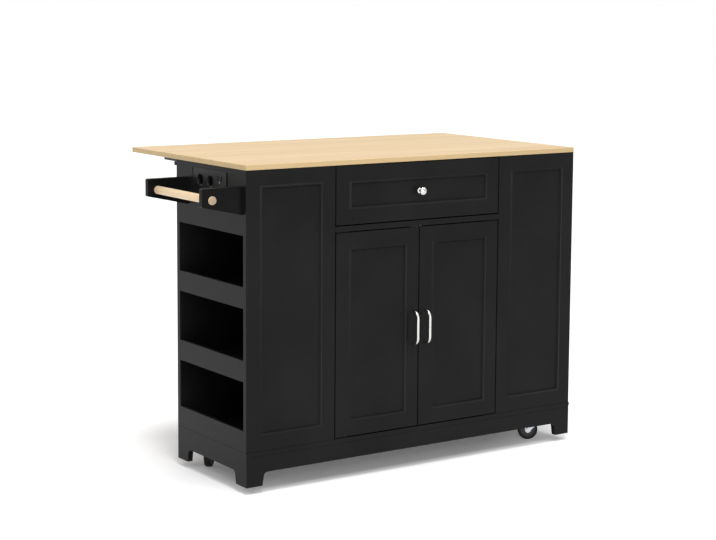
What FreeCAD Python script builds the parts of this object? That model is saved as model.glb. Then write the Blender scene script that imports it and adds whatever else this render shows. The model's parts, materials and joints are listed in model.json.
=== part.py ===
import FreeCAD
import Part
import Sketcher
import math
import os

doc = FreeCAD.newDocument("RollingIsland")
sheet = doc.addObject("Spreadsheet::Sheet", "Sizes")

# Every driving length in millimetres. Places are measured from the body's front left corner
# on the floor: x to the right, y to the back, z up.
driving = {
    "almost_share": 0.99,
    # Carcass
    "body_width": 1168.0,
    "body_depth": 396.0,
    "counter_height": 920.0,
    "top_thick": 14.5,
    "top_edge_round": 1.6,
    "board_thick": 16.0,
    "bottom_board_thick": 14.0,
    "back_thick": 16.0,
    "joint_gap": 0.3,
    "overrun": 5.0,
    # Plinth and feet
    "plinth_top_height": 106.0,
    "foot_clearance": 21.0,
    "apron_height": 59.0,
    "back_rail_height": 76.0,
    "seam_chamfer": 1.0,
    "front_foot_width": 52.0,
    "side_foot_width": 58.0,
    "foot_flare": 4.0,
    "foot_curve_radius": 13.0,
    # Fronts
    "side_front_width": 291.0,
    "front_gap": 3.0,
    "front_thick": 15.0,
    "front_back_gap": 1.0,
    "frame_width": 43.0,
    "recess_depth": 3.0,
    "bead_height": 3.0,
    "bead_outer_width": 6.0,
    "bead_top_width": 1.0,
    "bead_inner_width": 4.0,
    "rail_drop": 204.0,
    "rail_thick": 16.0,
    "partition_lap": 9.0,
    "post_depth": 80.0,
    # Left bay
    "upper_panel_rise": 9.0,
    "shelf_one_share": 0.6661,
    "shelf_two_share": 0.3273,
    "lip_height": 60.0,
    "lip_thick": 12.0,
    "side_panel_thick": 16.0,
    # Inner shelf
    "inner_shelf_share": 0.4866,
    "inner_shelf_setback": 114.0,
    "pin_radius": 2.5,
    "pin_length": 16.0,
    "pin_inset": 45.0,
    # Drawer
    "drawer_headroom": 37.0,
    "drawer_back_space": 35.0,
    "drawer_box_lift": 16.0,
    "drawer_side_thick": 12.0,
    "drawer_bottom_thick": 5.0,
    "drawer_bottom_lift": 10.0,
    "runner_space": 12.7,
    "runner_height": 35.0,
    "runner_lift": 40.0,
    "runner_sheet": 1.5,
    "runner_slack": 0.3,
    "runner_setback": 6.0,
    "runner_short": 3.0,
    # Knob
    "knob_foot_radius": 8.0,
    "knob_foot_thick": 2.5,
    "knob_neck_radius": 4.6,
    "knob_head_radius": 11.5,
    "knob_rim": 3.0,
    "knob_projection": 24.0,
    "knob_dome": 5.5,
    # Door handles and pivots
    "handle_spacing": 96.0,
    "handle_projection": 27.0,
    "handle_radius": 4.2,
    "handle_bend_radius": 20.0,
    "handle_edge_distance": 20.0,
    "pivot_inset": 3.5,
    "pivot_pin_radius": 2.0,
    "pivot_fit": 0.05,
    "pivot_plate_length": 42.0,
    "pivot_plate_depth": 12.0,
    "pivot_pin_reach": 6.0,
    "catch_width": 44.0,
    "catch_depth": 14.0,
    "catch_height": 13.0,
    # Hanging rail
    "arm_reach": 127.0,
    "arm_thick": 16.0,
    "arm_drop": 60.0,
    "arm_inner_height": 78.0,
    "arm_outer_height": 50.0,
    "arm_front_place": 17.0,
    "arm_rear_inset": 66.0,
    "arm_corner_radius": 4.0,
    "dowel_radius": 13.0,
    "dowel_reach": 96.0,
    "dowel_drop": 92.5,
    "dowel_stand_out": 4.0,
    "dowel_fit": 0.05,
    # Power module in the left side
    "module_front_place": 100.0,
    "module_length": 200.0,
    "module_drop": 91.0,
    "module_height": 62.0,
    "module_recess": 1.0,
    "module_front_gap": 9.0,
    "module_depth": 44.0,
    "socket_radius": 17.5,
    "socket_depth": 16.0,
    "socket_one_place": 100.0,
    "socket_two_place": 157.0,
    "socket_hole_radius": 2.5,
    "socket_hole_spacing": 19.0,
    "socket_hole_depth": 18.0,
    "usb_place": 46.0,
    "usb_width": 34.0,
    "usb_height": 34.0,
    "usb_depth": 14.0,
    "usb_lift": 37.0,
    "usb_port_width": 5.6,
    "usb_port_height": 13.0,
    "usb_port_depth": 11.0,
    "usb_port_spread": 10.0,
    "usb_port_rise": 5.0,
    # Wall bumpers on the right side
    "bumper_radius": 8.5,
    "bumper_projection": 9.5,
    "bumper_inset": 11.0,
    # Drop leaf and its folding brackets
    "leaf_edge_place": 676.0,
    "leaf_gap": 1.0,
    "hinge_out": 27.5,
    "hinge_drop": 8.0,
    "leaf_lead": 2.0,
    "bracket_inset": 75.0,
    "bracket_sheet": 1.6,
    "arm_channel_length": 173.0,
    "arm_channel_width": 19.2,
    "arm_channel_below": 7.0,
    "arm_eye_radius": 7.5,
    "ear_width": 14.0,
    "wall_plate_width": 36.0,
    "wall_plate_thick": 2.0,
    "wall_plate_below": 14.0,
    "bracket_rivet_radius": 2.5,
    "bracket_rivet_head": 4.2,
    "rivet_head_thick": 0.6,
    "rivet_fit": 0.05,
    "brace_drop": 66.0,
    "brace_length": 130.0,
    "brace_width": 9.6,
    "brace_end_radius": 5.0,
    "brace_sheet": 1.5,
    "ear_radius": 6.0,
    "catch_plate_place": 108.0,
    "catch_plate_length": 16.0,
    "catch_plate_lean": 14.0,
    "catch_plate_below": 27.0,
    "catch_plate_thick": 2.0,
    "catch_plate_end_radius": 5.0,
    # Casters
    "caster_inset_side": 82.0,
    "caster_inset_front": 65.0,
    "caster_inset_back": 52.0,
    "caster_height": 88.0,
    "caster_trail": 22.0,
    "wheel_radius": 31.0,
    "wheel_width": 20.0,
    "wheel_tyre_round": 4.0,
    "wheel_hub_radius": 9.0,
    "wheel_hub_width": 22.0,
    "wheel_dish_radius": 22.0,
    "wheel_dish_depth": 3.0,
    "axle_radius": 4.0,
    "axle_head_radius": 6.5,
    "axle_head_thick": 3.0,
    "wheel_fit": 0.05,
    "fork_sheet": 2.0,
    "fork_slack": 0.4,
    "fork_top_height": 69.0,
    "fork_crown_half": 18.0,
    "fork_back_reach": 37.0,
    "fork_shoulder_drop": 11.0,
    "fork_eye_radius": 9.0,
    "caster_plate_size": 60.0,
    "caster_plate_thick": 2.5,
    "caster_plate_round": 6.0,
    "caster_hole_radius": 3.0,
    "caster_hole_inset": 9.0,
    "race_radius": 21.0,
    "race_gap": 0.3,
    "race_step": 3.0,
    "race_rise": 8.0,
    "kingpin_radius": 5.0,
    "kingpin_fit": 0.05,
    "kingpin_head_radius": 8.0,
    "kingpin_head_thick": 1.6,
    "block_length": 116.0,
    "block_depth": 104.0,
    "pedal_width": 16.0,
    "pedal_sheet": 1.8,
    "pedal_pivot_out": 30.0,
    "pedal_pivot_height": 64.6,
    "pedal_tip_out": 51.0,
    "pedal_tip_height": 58.0,
    "pedal_root": 3.2,
    "pedal_pin_radius": 1.4,
    "caster_turn_front": -32.0,
    "caster_turn_rear_left": 46.0,
    "caster_turn_rear_right": -24.0,
}

for row, (alias, value) in enumerate(driving.items(), start=1):
    sheet.set(f"A{row}", alias.replace("_", " "))
    sheet.set(f"B{row}", str(value))
    sheet.setAlias(f"B{row}", alias)
doc.recompute()


class Size:
    """A length together with the sheet expression that gives it."""

    def __init__(self, value, text):
        self.value = value
        self.text = text

    def __add__(self, other):
        other = asSize(other)
        return Size(self.value + other.value, f"({self.text} + {other.text})")

    def __sub__(self, other):
        other = asSize(other)
        return Size(self.value - other.value, f"({self.text} - {other.text})")

    def __mul__(self, share):
        share = asSize(share)
        return Size(self.value * share.value, f"({self.text} * {share.text})")

    def __truediv__(self, share):
        return Size(self.value / share, f"({self.text} / {share})")

    def __neg__(self):
        return Size(-self.value, f"(0 - {self.text})")


def asSize(number):
    """Zero is the only plain number that the outlines use."""
    return number if isinstance(number, Size) else Size(float(number), str(number))


class SheetSizes:
    """Gives each alias of the sheet as a Size."""

    def __getattr__(self, alias):
        return Size(float(getattr(sheet, alias)), "Sizes." + alias)


d = SheetSizes()
nothing = Size(0.0, "0")

# The object's own frame has its origin under the middle of its whole box, rail and leaf included.
front_reach = d.handle_projection + d.handle_radius
origin_x = (d.body_width + d.bumper_projection - d.arm_reach) / 2
origin_y = (d.leaf_edge_place - front_reach) / 2

# Levels and lines that several pieces share
under_top = d.counter_height - d.top_thick
board_bottom = d.plinth_top_height
board_top = board_bottom + d.bottom_board_thick
front_line = d.front_thick + d.front_back_gap
back_line = d.body_depth - d.back_thick
inner_depth = back_line - front_line
partition_left = d.side_front_width + d.partition_lap - d.board_thick
partition_right = partition_left + d.board_thick
post_left = d.body_width - partition_right
post_right = post_left + d.board_thick
right_panel_left = d.body_width - d.board_thick
rail_height = d.counter_height - d.rail_drop
rail_top = rail_height + d.rail_thick
upper_panel_height = rail_height + d.upper_panel_rise
shelf_one_height = board_top + (upper_panel_height - board_top) * d.shelf_one_share
shelf_two_height = board_top + (upper_panel_height - board_top) * d.shelf_two_share
inner_shelf_height = board_top + (rail_height - board_top) * d.inner_shelf_share
arm_top = d.counter_height - d.arm_drop
arm_rear_place = d.body_depth - d.arm_rear_inset
dowel_height = d.counter_height - d.dowel_drop
module_bottom = d.counter_height - d.module_drop
door_left = d.side_front_width + d.front_gap
door_bottom = board_top + d.front_gap
door_top = rail_height - d.front_gap
door_height = door_top - door_bottom
door_width = (d.body_width / 2 - d.front_gap / 2) - door_left
drawer_front_bottom = rail_top + d.front_gap
drawer_front_height = under_top - d.front_gap - drawer_front_bottom
drawer_front_width = d.body_width - door_left * 2
box_level = drawer_front_bottom + d.drawer_box_lift
drawer_box_height = under_top - d.drawer_headroom - box_level
handle_height = door_bottom + door_height / 2
hinge_y = d.body_depth + d.hinge_out
hinge_z = under_top - d.hinge_drop
top_rear_edge = hinge_y + d.leaf_lead - d.leaf_gap
leaf_front_edge = hinge_y + d.leaf_lead


def bind(item, prop, size):
    """Binds one property of an object to the sheet."""
    item.setExpression(prop, size.text)


def place(item, x, y, z):
    """Puts an object at a place measured from the body's front left corner on the floor."""
    bind(item, "Placement.Base.x", x - origin_x)
    bind(item, "Placement.Base.y", y - origin_y)
    bind(item, "Placement.Base.z", asSize(z))


finished = []


def board(label, corner, size):
    """A plain rectangular board."""
    item = doc.addObject("Part::Box", label)
    item.Label = label
    for prop, length in zip(("Length", "Width", "Height"), size):
        bind(item, prop, length)
    place(item, *corner)
    finished.append(item)
    return item


def newBody(label, corner):
    """A body whose own origin lies at the given place."""
    body = doc.addObject("PartDesign::Body", label)
    body.Label = label
    place(body, *corner)
    finished.append(body)
    return body


def gather(label, members):
    """One node of several alike solids."""
    whole = doc.addObject("Part::Compound", label)
    whole.Label = label
    whole.Links = members
    for member in members:
        finished.remove(member)
    finished.append(whole)


def turn(item, axis, size):
    """Turns an object about an axis through its own origin."""
    item.Placement = FreeCAD.Placement(item.Placement.Base, FreeCAD.Rotation(axis, 1))
    item.setExpression("Placement.Rotation.Angle", size.text)


def plane(body, role):
    """The body's own origin plane of that role."""
    return next(f for f in body.Origin.OriginFeatures if f.Role == role)


def sketch(body, role, name, lift=None):
    """A sketch on one of the body's own planes, lifted along the plane's normal if asked."""
    made = body.newObject("Sketcher::SketchObject", body.Label + name)
    made.AttachmentSupport = [(plane(body, role), "")]
    made.MapMode = "FlatFace"
    if lift is not None:
        made.setExpression("AttachmentOffset.Base.z", lift.text)
    return made


def pin(made, geometry, end, point):
    """Fixes one point of a sketch at a place given by two sizes."""
    for kind, size in zip(("DistanceX", "DistanceY"), point):
        size = asSize(size)
        index = made.addConstraint(Sketcher.Constraint(kind, -1, 1, geometry, end, size.value))
        if size.text != "0":
            made.setExpression(f"Constraints[{index}]", size.text)


def outline(made, points, radii=None):
    """A closed outline through the points. A point with a radius is where an arc starts,
    and the arc ends at the next point; the radius is negative where the arc turns clockwise."""
    radii = radii or {}
    spots = [(asSize(x), asSize(y)) for x, y in points]
    vectors = [FreeCAD.Vector(x.value, y.value, 0) for x, y in spots]
    first = made.GeometryCount
    count = len(spots)
    starts = []
    for i, start in enumerate(vectors):
        end = vectors[(i + 1) % count]
        if i in radii:
            radius = abs(radii[i].value)
            chord = end - start
            half = chord.Length / 2
            rise = math.sqrt(max(radius * radius - half * half, 0.0))
            side = FreeCAD.Vector(-chord.y, chord.x, 0).normalize()
            anticlockwise = radii[i].value > 0
            centre = (start + end) / 2 + side * (rise if anticlockwise else -rise)
            one, two = (start, end) if anticlockwise else (end, start)
            a = math.atan2(one.y - centre.y, one.x - centre.x)
            b = math.atan2(two.y - centre.y, two.x - centre.x)
            circle = Part.Circle(centre, FreeCAD.Vector(0, 0, 1), radius)
            made.addGeometry(Part.ArcOfCircle(circle, a, b if b > a else b + 2 * math.pi))
            starts.append((1, 2) if anticlockwise else (2, 1))
        else:
            made.addGeometry(Part.LineSegment(start, end))
            starts.append((1, 2))
    for i in range(count):
        following = (i + 1) % count
        made.addConstraint(
            Sketcher.Constraint(
                "Coincident", first + i, starts[i][1], first + following, starts[following][0]
            )
        )
    for i, point in enumerate(spots):
        pin(made, first + i, starts[i][0], point)
    for i, radius in radii.items():
        size = radius if radius.value > 0 else -radius
        chord = vectors[(i + 1) % count] - vectors[i]
        if chord.Length > size.value * 2 * d.almost_share.value:
            # A half circle is held by its centre, level with its ends
            upright_chord = abs(chord.x) < abs(chord.y)
            kind = "DistanceX" if upright_chord else "DistanceY"
            level = spots[i][0 if upright_chord else 1]
            made.addConstraint(Sketcher.Constraint(kind, -1, 1, first + i, 3, level.value))
            index = made.ConstraintCount - 1
            size = level
        else:
            index = made.addConstraint(Sketcher.Constraint("Radius", first + i, size.value))
        if size.text != "0":
            made.setExpression(f"Constraints[{index}]", size.text)


def rectangle(made, x, y, width, height):
    """A rectangle from its lower left corner."""
    x, y = asSize(x), asSize(y)
    outline(made, [(x, y), (x + width, y), (x + width, y + height), (x, y + height)])


def ring(made, x, y, radius):
    """A circle."""
    x, y = asSize(x), asSize(y)
    centre = FreeCAD.Vector(x.value, y.value, 0)
    index = made.addGeometry(Part.Circle(centre, FreeCAD.Vector(0, 0, 1), radius.value))
    pin(made, index, 3, (x, y))
    bound = made.addConstraint(Sketcher.Constraint("Radius", index, radius.value))
    made.setExpression(f"Constraints[{bound}]", radius.text)


def feature(body, kind, name, profile, length=None, middle=False, back=False):
    """A pad or pocket of a sketch."""
    made = body.newObject("PartDesign::" + kind, body.Label + name)
    made.Profile = profile
    if length is None:
        made.Type = 1
    else:
        bind(made, "Length", length)
    made.Midplane = middle
    made.Reversed = back
    profile.Visibility = False
    return made


def revolve(body, name, profile, axis, line=None):
    """A full turn of a sketch about an axis of the sketch, or about a line of another one."""
    made = body.newObject("PartDesign::Revolution", body.Label + name)
    made.Profile = profile
    made.ReferenceAxis = (line or profile, [axis])
    made.Angle = 360
    return made


def edgesWhere(item, test):
    """Names of the edges whose box passes the test."""
    found = []
    for number, edge in enumerate(item.Shape.Edges, start=1):
        if test(edge):
            found.append(f"Edge{number}")
    return found


def dress(body, kind, name, base, size, test):
    """A fillet or chamfer on the edges that pass the test."""
    doc.recompute()
    made = body.newObject("PartDesign::" + kind, body.Label + name)
    made.Base = (base, edgesWhere(base, test))
    bind(made, "Radius" if kind == "Fillet" else "Size", size)
    return made


def loft(body, kind, name, start, end):
    """A flat-sided solid between two sketches, added or cut."""
    made = body.newObject("PartDesign::" + kind, body.Label + name)
    made.Profile = start
    made.Sections = [end]
    made.Ruled = True
    start.Visibility = False
    end.Visibility = False
    return made


# Tabletop and drop leaf
def slab(label, corner, width, depth):
    """A worktop board with its upper edges eased."""
    body = newBody(label, corner)
    profile = sketch(body, "XY_Plane", "Plan")
    rectangle(profile, 0, 0, width, depth)
    solid = feature(body, "Pad", "Board", profile, d.top_thick)
    level = d.top_thick.value

    def upper(edge):
        box = edge.BoundBox
        return box.ZMin > level * d.almost_share.value

    dress(body, "Fillet", "Edge", solid, d.top_edge_round, upper)


slab("tabletop", (nothing, nothing, under_top), d.body_width, top_rear_edge)
slab(
    "drop_leaf",
    (nothing, leaf_front_edge, under_top),
    d.body_width,
    d.leaf_edge_place - leaf_front_edge,
)

# Carcass boards
carcass_height = under_top - board_top
board(
    "bottom_board",
    (d.board_thick, nothing, board_bottom),
    (d.body_width - d.board_thick * 2, d.body_depth, d.bottom_board_thick),
)
board("back_panel", (nothing, back_line, board_top), (d.body_width, d.back_thick, carcass_height))
board(
    "left_partition",
    (partition_left, front_line, board_top),
    (d.board_thick, inner_depth, carcass_height),
)
board(
    "right_side_panel",
    (right_panel_left, front_line, board_top),
    (d.board_thick, inner_depth, carcass_height),
)
board(
    "hinge_post",
    (post_left, front_line, board_top),
    (d.board_thick, d.post_depth, rail_height - board_top),
)
board(
    "drawer_divider",
    (post_left, front_line, rail_top),
    (d.board_thick, inner_depth, under_top - rail_top),
)


# The rail is the front edge of a full dust board
# Its tongue fills the front line between the side fronts
def dustBoard():
    body = newBody("dust_board", (partition_right, nothing, rail_height))
    profile = sketch(body, "XY_Plane", "Plan")
    left = d.side_front_width - partition_right
    right = d.body_width - d.side_front_width - partition_right
    end = right_panel_left - partition_right
    points = [
        (left, nothing),
        (right, nothing),
        (right, front_line),
        (end, front_line),
        (end, back_line),
        (nothing, back_line),
        (nothing, front_line),
        (left, front_line),
    ]
    outline(profile, points)
    feature(body, "Pad", "Board", profile, d.rail_thick)


dustBoard()

inner_shelf_front = front_line + d.inner_shelf_setback
board(
    "inner_shelf",
    (partition_right + d.joint_gap, inner_shelf_front, inner_shelf_height),
    (
        right_panel_left - partition_right - d.joint_gap * 2,
        back_line - inner_shelf_front - d.joint_gap,
        d.board_thick,
    ),
)


# Fixed fronts, doors and drawer front: one routed board each
def routedFront(label, corner, width, height, thick):
    """A front board with a raised bead round a sunk field. The bead rises gently from the
    frame and drops steeply to the field."""
    body = newBody(label, corner)
    face = sketch(body, "XZ_Plane", "Face")
    rectangle(face, 0, 0, width, height)
    solid = feature(body, "Pad", "Board", face, thick, back=True)
    near = d.joint_gap.value

    def outer(edge):
        return edge.BoundBox.YMax < near

    dress(body, "Chamfer", "Eased", solid, d.seam_chamfer, outer)

    def inset(name, margin, lift):
        section = sketch(body, "XZ_Plane", name, lift)
        rectangle(section, margin, margin, width - margin * 2, height - margin * 2)
        return section

    crest = d.frame_width + d.bead_outer_width
    brim = crest + d.bead_top_width
    foot = inset("BeadFoot", d.frame_width, nothing)
    loft(body, "AdditiveLoft", "Bead", foot, inset("BeadCrest", crest, d.bead_height))
    mouth = inset("FieldBrim", brim, d.bead_height)
    floor = inset("FieldFloor", brim + d.bead_inner_width, -d.recess_depth)
    loft(body, "SubtractiveLoft", "Field", mouth, floor)
    return body


# The fixed fronts stand against the carcass boards, while the moving ones keep a gap behind them
right_front_left = d.body_width - d.side_front_width
right_door_left = d.body_width - door_left - door_width
for label, left in (("left_front", nothing), ("right_front", right_front_left)):
    routedFront(label, (left, nothing, board_top), d.side_front_width, carcass_height, front_line)
routedFront(
    "drawer_front",
    (door_left, nothing, drawer_front_bottom),
    drawer_front_width,
    drawer_front_height,
    d.front_thick,
)


def door(label, left, pivot):
    """A door with a bore in each end for its pivot pins."""
    body = routedFront(label, (left, nothing, door_bottom), door_width, door_height, d.front_thick)
    for name, lift in (("LowerBore", nothing), ("UpperBore", door_height)):
        ends = sketch(body, "XY_Plane", name, lift)
        ring(ends, pivot, d.pivot_inset, d.pivot_pin_radius + d.pivot_fit)
        depth = d.pivot_pin_reach + d.joint_gap
        feature(body, "Pocket", name + "Hole", ends, depth, back=lift is nothing)


door("door_left", door_left, d.pivot_inset)
door("door_right", right_door_left, door_width - d.pivot_inset)


# Left bay: upper side panel with the cut-out for the power module
def upperSidePanel():
    body = newBody("upper_side_panel", (nothing, front_line, upper_panel_height))
    face = sketch(body, "YZ_Plane", "Face")
    rectangle(face, 0, 0, inner_depth, under_top - upper_panel_height)
    feature(body, "Pad", "Board", face, d.side_panel_thick)
    hole = sketch(body, "YZ_Plane", "Opening")
    rectangle(
        hole,
        d.module_front_place - front_line,
        module_bottom - upper_panel_height,
        d.module_length,
        d.module_height,
    )
    feature(body, "Pocket", "CutOut", hole, d.side_panel_thick + d.overrun, back=True)


upperSidePanel()

bay_width = partition_left - d.lip_thick
board(
    "bay_ceiling",
    (d.side_panel_thick, front_line, upper_panel_height),
    (partition_left - d.side_panel_thick, inner_depth, d.board_thick),
)
for label, level in (("side_shelf_upper", shelf_one_height), ("side_shelf_lower", shelf_two_height)):
    board(label, (d.lip_thick, front_line, level), (bay_width, inner_depth, d.board_thick))


def lip(label, level, height):
    """The upstand that keeps things on a side shelf, with its upper edges eased."""
    body = newBody(label, (nothing, front_line, level))
    profile = sketch(body, "XY_Plane", "Plan")
    rectangle(profile, 0, 0, d.lip_thick, inner_depth)
    solid = feature(body, "Pad", "Board", profile, height)
    top = height.value

    def upper(edge):
        box = edge.BoundBox
        return box.ZMin > top * d.almost_share.value and box.YLength > box.XLength

    dress(body, "Fillet", "Edge", solid, d.top_edge_round, upper)
    return body


lips = [
    lip("upper_lip", shelf_one_height, d.lip_height),
    lip("middle_lip", shelf_two_height, d.lip_height),
    lip("lower_lip", board_top, d.lip_height),
]
gather("shelf_lips", lips)


# Plinth boards: bracket feet with a curved step up to the apron
def plinthOutline(profile, start, end, near, far, top):
    """Board from start to end along the sketch's x, feet from near and up to far, top edge at top."""
    step = d.foot_curve_radius
    low, high = d.foot_clearance, d.apron_height
    points = [
        (start, low),
        (near, low),
        (near + d.foot_flare, high - step),
        (near + d.foot_flare + step, high),
        (far - d.foot_flare - step, high),
        (far - d.foot_flare, high - step),
        (far, low),
        (end, low),
        (end, top),
        (start, top),
    ]
    outline(profile, points, {2: -step, 4: -step})


def plinthBoard(label, corner, role, start, end, near, far, top, outer, back=False):
    """A plinth board whose outer upper edge is eased, so that its joint shows as a fine line."""
    body = newBody(label, corner)
    profile = sketch(body, role, "Face")
    plinthOutline(profile, start, end, near, far, top)
    solid = feature(body, "Pad", "Board", profile, d.board_thick, back=back)
    level = top.value
    side = outer.value

    def upper(edge):
        box = edge.BoundBox
        low, high = (box.YMin, box.YMax) if back else (box.XMin, box.XMax)
        flat = high - low < d.joint_gap.value and abs(low - side) < d.joint_gap.value
        return flat and box.ZMin > level * d.almost_share.value

    dress(body, "Chamfer", "Eased", solid, d.seam_chamfer, upper)


plinthBoard(
    "plinth_front",
    (nothing, nothing, nothing),
    "XZ_Plane",
    d.board_thick,
    d.body_width - d.board_thick,
    d.front_foot_width,
    d.body_width - d.front_foot_width,
    d.plinth_top_height,
    nothing,
    back=True,
)
for label, line, outer in (
    ("plinth_left", nothing, nothing),
    ("plinth_right", right_panel_left, d.board_thick),
):
    plinthBoard(
        label,
        (line, nothing, nothing),
        "YZ_Plane",
        nothing,
        d.body_depth,
        d.side_foot_width,
        d.body_depth - d.side_foot_width,
        board_top,
        outer,
    )
board(
    "plinth_back",
    (d.board_thick, d.body_depth - d.board_thick, d.back_rail_height),
    (
        d.body_width - d.board_thick * 2,
        d.board_thick,
        d.plinth_top_height - d.back_rail_height,
    ),
)


# Hanging rail: two tapered arms and a round dowel through both
def railArm(label, line):
    body = newBody(label, (nothing, line, nothing))
    face = sketch(body, "XZ_Plane", "Face")
    top = arm_top
    r = d.arm_corner_radius
    reach = -d.arm_reach
    lean = (d.arm_inner_height - d.arm_outer_height) / d.arm_reach.value
    points = [
        (nothing, top - d.arm_inner_height),
        (nothing, top),
        (reach + r, top),
        (reach, top - r),
        (reach, top - d.arm_outer_height + r),
        (reach + r, top - d.arm_outer_height - lean * r.value),
    ]
    outline(face, points, {2: r, 4: r})
    feature(body, "Pad", "Board", face, d.arm_thick, back=True)
    hole = sketch(body, "XZ_Plane", "Bore")
    ring(hole, -d.dowel_reach, dowel_height, d.dowel_radius + d.dowel_fit)
    feature(body, "Pocket", "DowelHole", hole, d.arm_thick + d.overrun)


railArm("rail_arm_front", d.arm_front_place)
railArm("rail_arm_rear", arm_rear_place)


def railDowel():
    body = newBody(
        "rail_dowel",
        (-d.dowel_reach, d.arm_front_place - d.dowel_stand_out, dowel_height),
    )
    end = sketch(body, "XZ_Plane", "End")
    ring(end, 0, 0, d.dowel_radius)
    length = arm_rear_place + d.arm_thick + d.dowel_stand_out * 2 - d.arm_front_place
    rod = feature(body, "Pad", "Rod", end, length, back=True)

    def ends(edge):
        return edge.BoundBox.YLength < d.joint_gap.value

    dress(body, "Fillet", "Edge", rod, d.top_edge_round, ends)


railDowel()


# Power module: housing with two round wells, and the insert with two charging ports
module_start = d.module_front_place + d.module_front_gap


def powerModule():
    """The housing fills its cut-out but for a slot at the front end."""
    slack = d.joint_gap
    body = newBody(
        "power_module",
        (
            d.module_recess,
            module_start,
            module_bottom + slack,
        ),
    )
    length = d.module_length - d.module_front_gap - slack
    height = d.module_height - slack * 2
    face = sketch(body, "YZ_Plane", "Face")
    rectangle(face, 0, 0, length, height)
    solid = feature(body, "Pad", "Housing", face, d.module_depth)
    wells = sketch(body, "YZ_Plane", "Wells")
    level = height / 2
    spots = (d.socket_one_place - d.module_front_gap, d.socket_two_place - d.module_front_gap)
    for spot in spots:
        ring(wells, spot, level, d.socket_radius)
    feature(body, "Pocket", "Sockets", wells, d.socket_depth, back=True)
    holes = sketch(body, "YZ_Plane", "Holes", d.socket_depth)
    for spot in spots:
        ring(holes, spot - d.socket_hole_spacing / 2, level, d.socket_hole_radius)
        ring(holes, spot + d.socket_hole_spacing / 2, level, d.socket_hole_radius)
    feature(body, "Pocket", "PinHoles", holes, d.socket_hole_depth, back=True)
    pocket = sketch(body, "YZ_Plane", "InsertSeat")
    start = d.usb_place - d.module_front_gap - d.usb_width / 2
    rectangle(pocket, start, d.usb_lift - slack - d.usb_height / 2, d.usb_width, d.usb_height)
    feature(body, "Pocket", "Seat", pocket, d.usb_depth, back=True)


powerModule()


def usbInsert():
    slack = d.joint_gap
    body = newBody(
        "usb_insert",
        (
            d.module_recess,
            d.module_front_place + d.usb_place - d.usb_width / 2 + slack,
            module_bottom + d.usb_lift - d.usb_height / 2 + slack,
        ),
    )
    width = d.usb_width - slack * 2
    height = d.usb_height - slack * 2
    face = sketch(body, "YZ_Plane", "Face")
    rectangle(face, 0, 0, width, height)
    feature(body, "Pad", "Block", face, d.usb_depth - slack)
    ports = sketch(body, "YZ_Plane", "Ports")
    for shift in (d.usb_port_spread, -d.usb_port_spread):
        rectangle(
            ports,
            width / 2 + shift - d.usb_port_width / 2,
            height / 2 + d.usb_port_rise - d.usb_port_height / 2,
            d.usb_port_width,
            d.usb_port_height,
        )
    feature(body, "Pocket", "PortHoles", ports, d.usb_port_depth, back=True)


usbInsert()


# Drawer box
box_left = partition_right + d.runner_space
box_right = post_left - d.runner_space
box_width = box_right - box_left
box_front = d.front_thick
drawer_box_depth = d.body_depth - d.board_thick - d.drawer_back_space - box_front


def drawerSide(label, left):
    """A drawer side with the groove that holds the bottom."""
    body = newBody(label, (left, box_front, box_level))
    plan = sketch(body, "XY_Plane", "Plan")
    rectangle(plan, 0, 0, d.drawer_side_thick, drawer_box_depth)
    solid = feature(body, "Pad", "Board", plan, drawer_box_height)
    high = drawer_box_height.value

    def upper(edge):
        box = edge.BoundBox
        return box.ZMin > high * d.almost_share.value and box.YLength > box.XLength

    dress(body, "Fillet", "Edge", solid, d.top_edge_round, upper)


drawerSide("drawer_side_left", box_left)
drawerSide("drawer_side_right", box_right - d.drawer_side_thick)
box_inner = box_width - d.drawer_side_thick * 2
board(
    "drawer_back",
    (
        box_left + d.drawer_side_thick,
        box_front + drawer_box_depth - d.drawer_side_thick,
        box_level,
    ),
    (box_inner, d.drawer_side_thick, drawer_box_height),
)
board(
    "drawer_bottom",
    (box_left + d.drawer_side_thick, box_front, box_level + d.drawer_bottom_lift),
    (box_inner, drawer_box_depth - d.drawer_side_thick, d.drawer_bottom_thick),
)


# Drawer runners: the cabinet half is a C channel, the drawer half a smaller C that runs inside it
def channel(label, corner, toward, height, depth, sheet_thick, length):
    """A C channel along y. toward is 1 where its open side faces +x, and -1 where it faces -x."""
    body = newBody(label, corner)
    profile = sketch(body, "XZ_Plane", "Section")
    across = depth if toward > 0 else -depth
    wall = sheet_thick if toward > 0 else -sheet_thick
    points = [
        (nothing, nothing),
        (across, nothing),
        (across, sheet_thick),
        (wall, sheet_thick),
        (wall, height - sheet_thick),
        (across, height - sheet_thick),
        (across, height),
        (nothing, height),
    ]
    outline(profile, points if toward > 0 else points[::-1])
    feature(body, "Pad", "Rail", profile, length, back=True)
    return body


runner_level = box_level + d.runner_lift
runner_front = front_line + d.runner_setback
runner_length = box_front + drawer_box_depth - d.runner_short - runner_front
outer_depth = d.runner_space - d.runner_sheet
slide_depth = d.runner_space - d.runner_sheet - d.runner_slack * 3
slide_height = d.runner_height - d.runner_sheet * 2 - d.runner_slack * 2
slide_lift = d.runner_sheet + d.runner_slack
runners = []
slides = []
for end, wall, box_side, toward in (
    ("left", partition_right, box_left, 1),
    ("right", post_left, box_right, -1),
):
    runner_spot = (wall, runner_front, runner_level)
    section = (d.runner_height, outer_depth, d.runner_sheet, runner_length)
    runners.append(channel("runner_" + end, runner_spot, toward, *section))
    slide_spot = (box_side, runner_front, runner_level + slide_lift)
    section = (slide_height, slide_depth, d.runner_sheet, runner_length)
    slides.append(channel("slide_" + end, slide_spot, -toward, *section))
gather("drawer_runners", runners)
gather("drawer_slides", slides)


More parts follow.
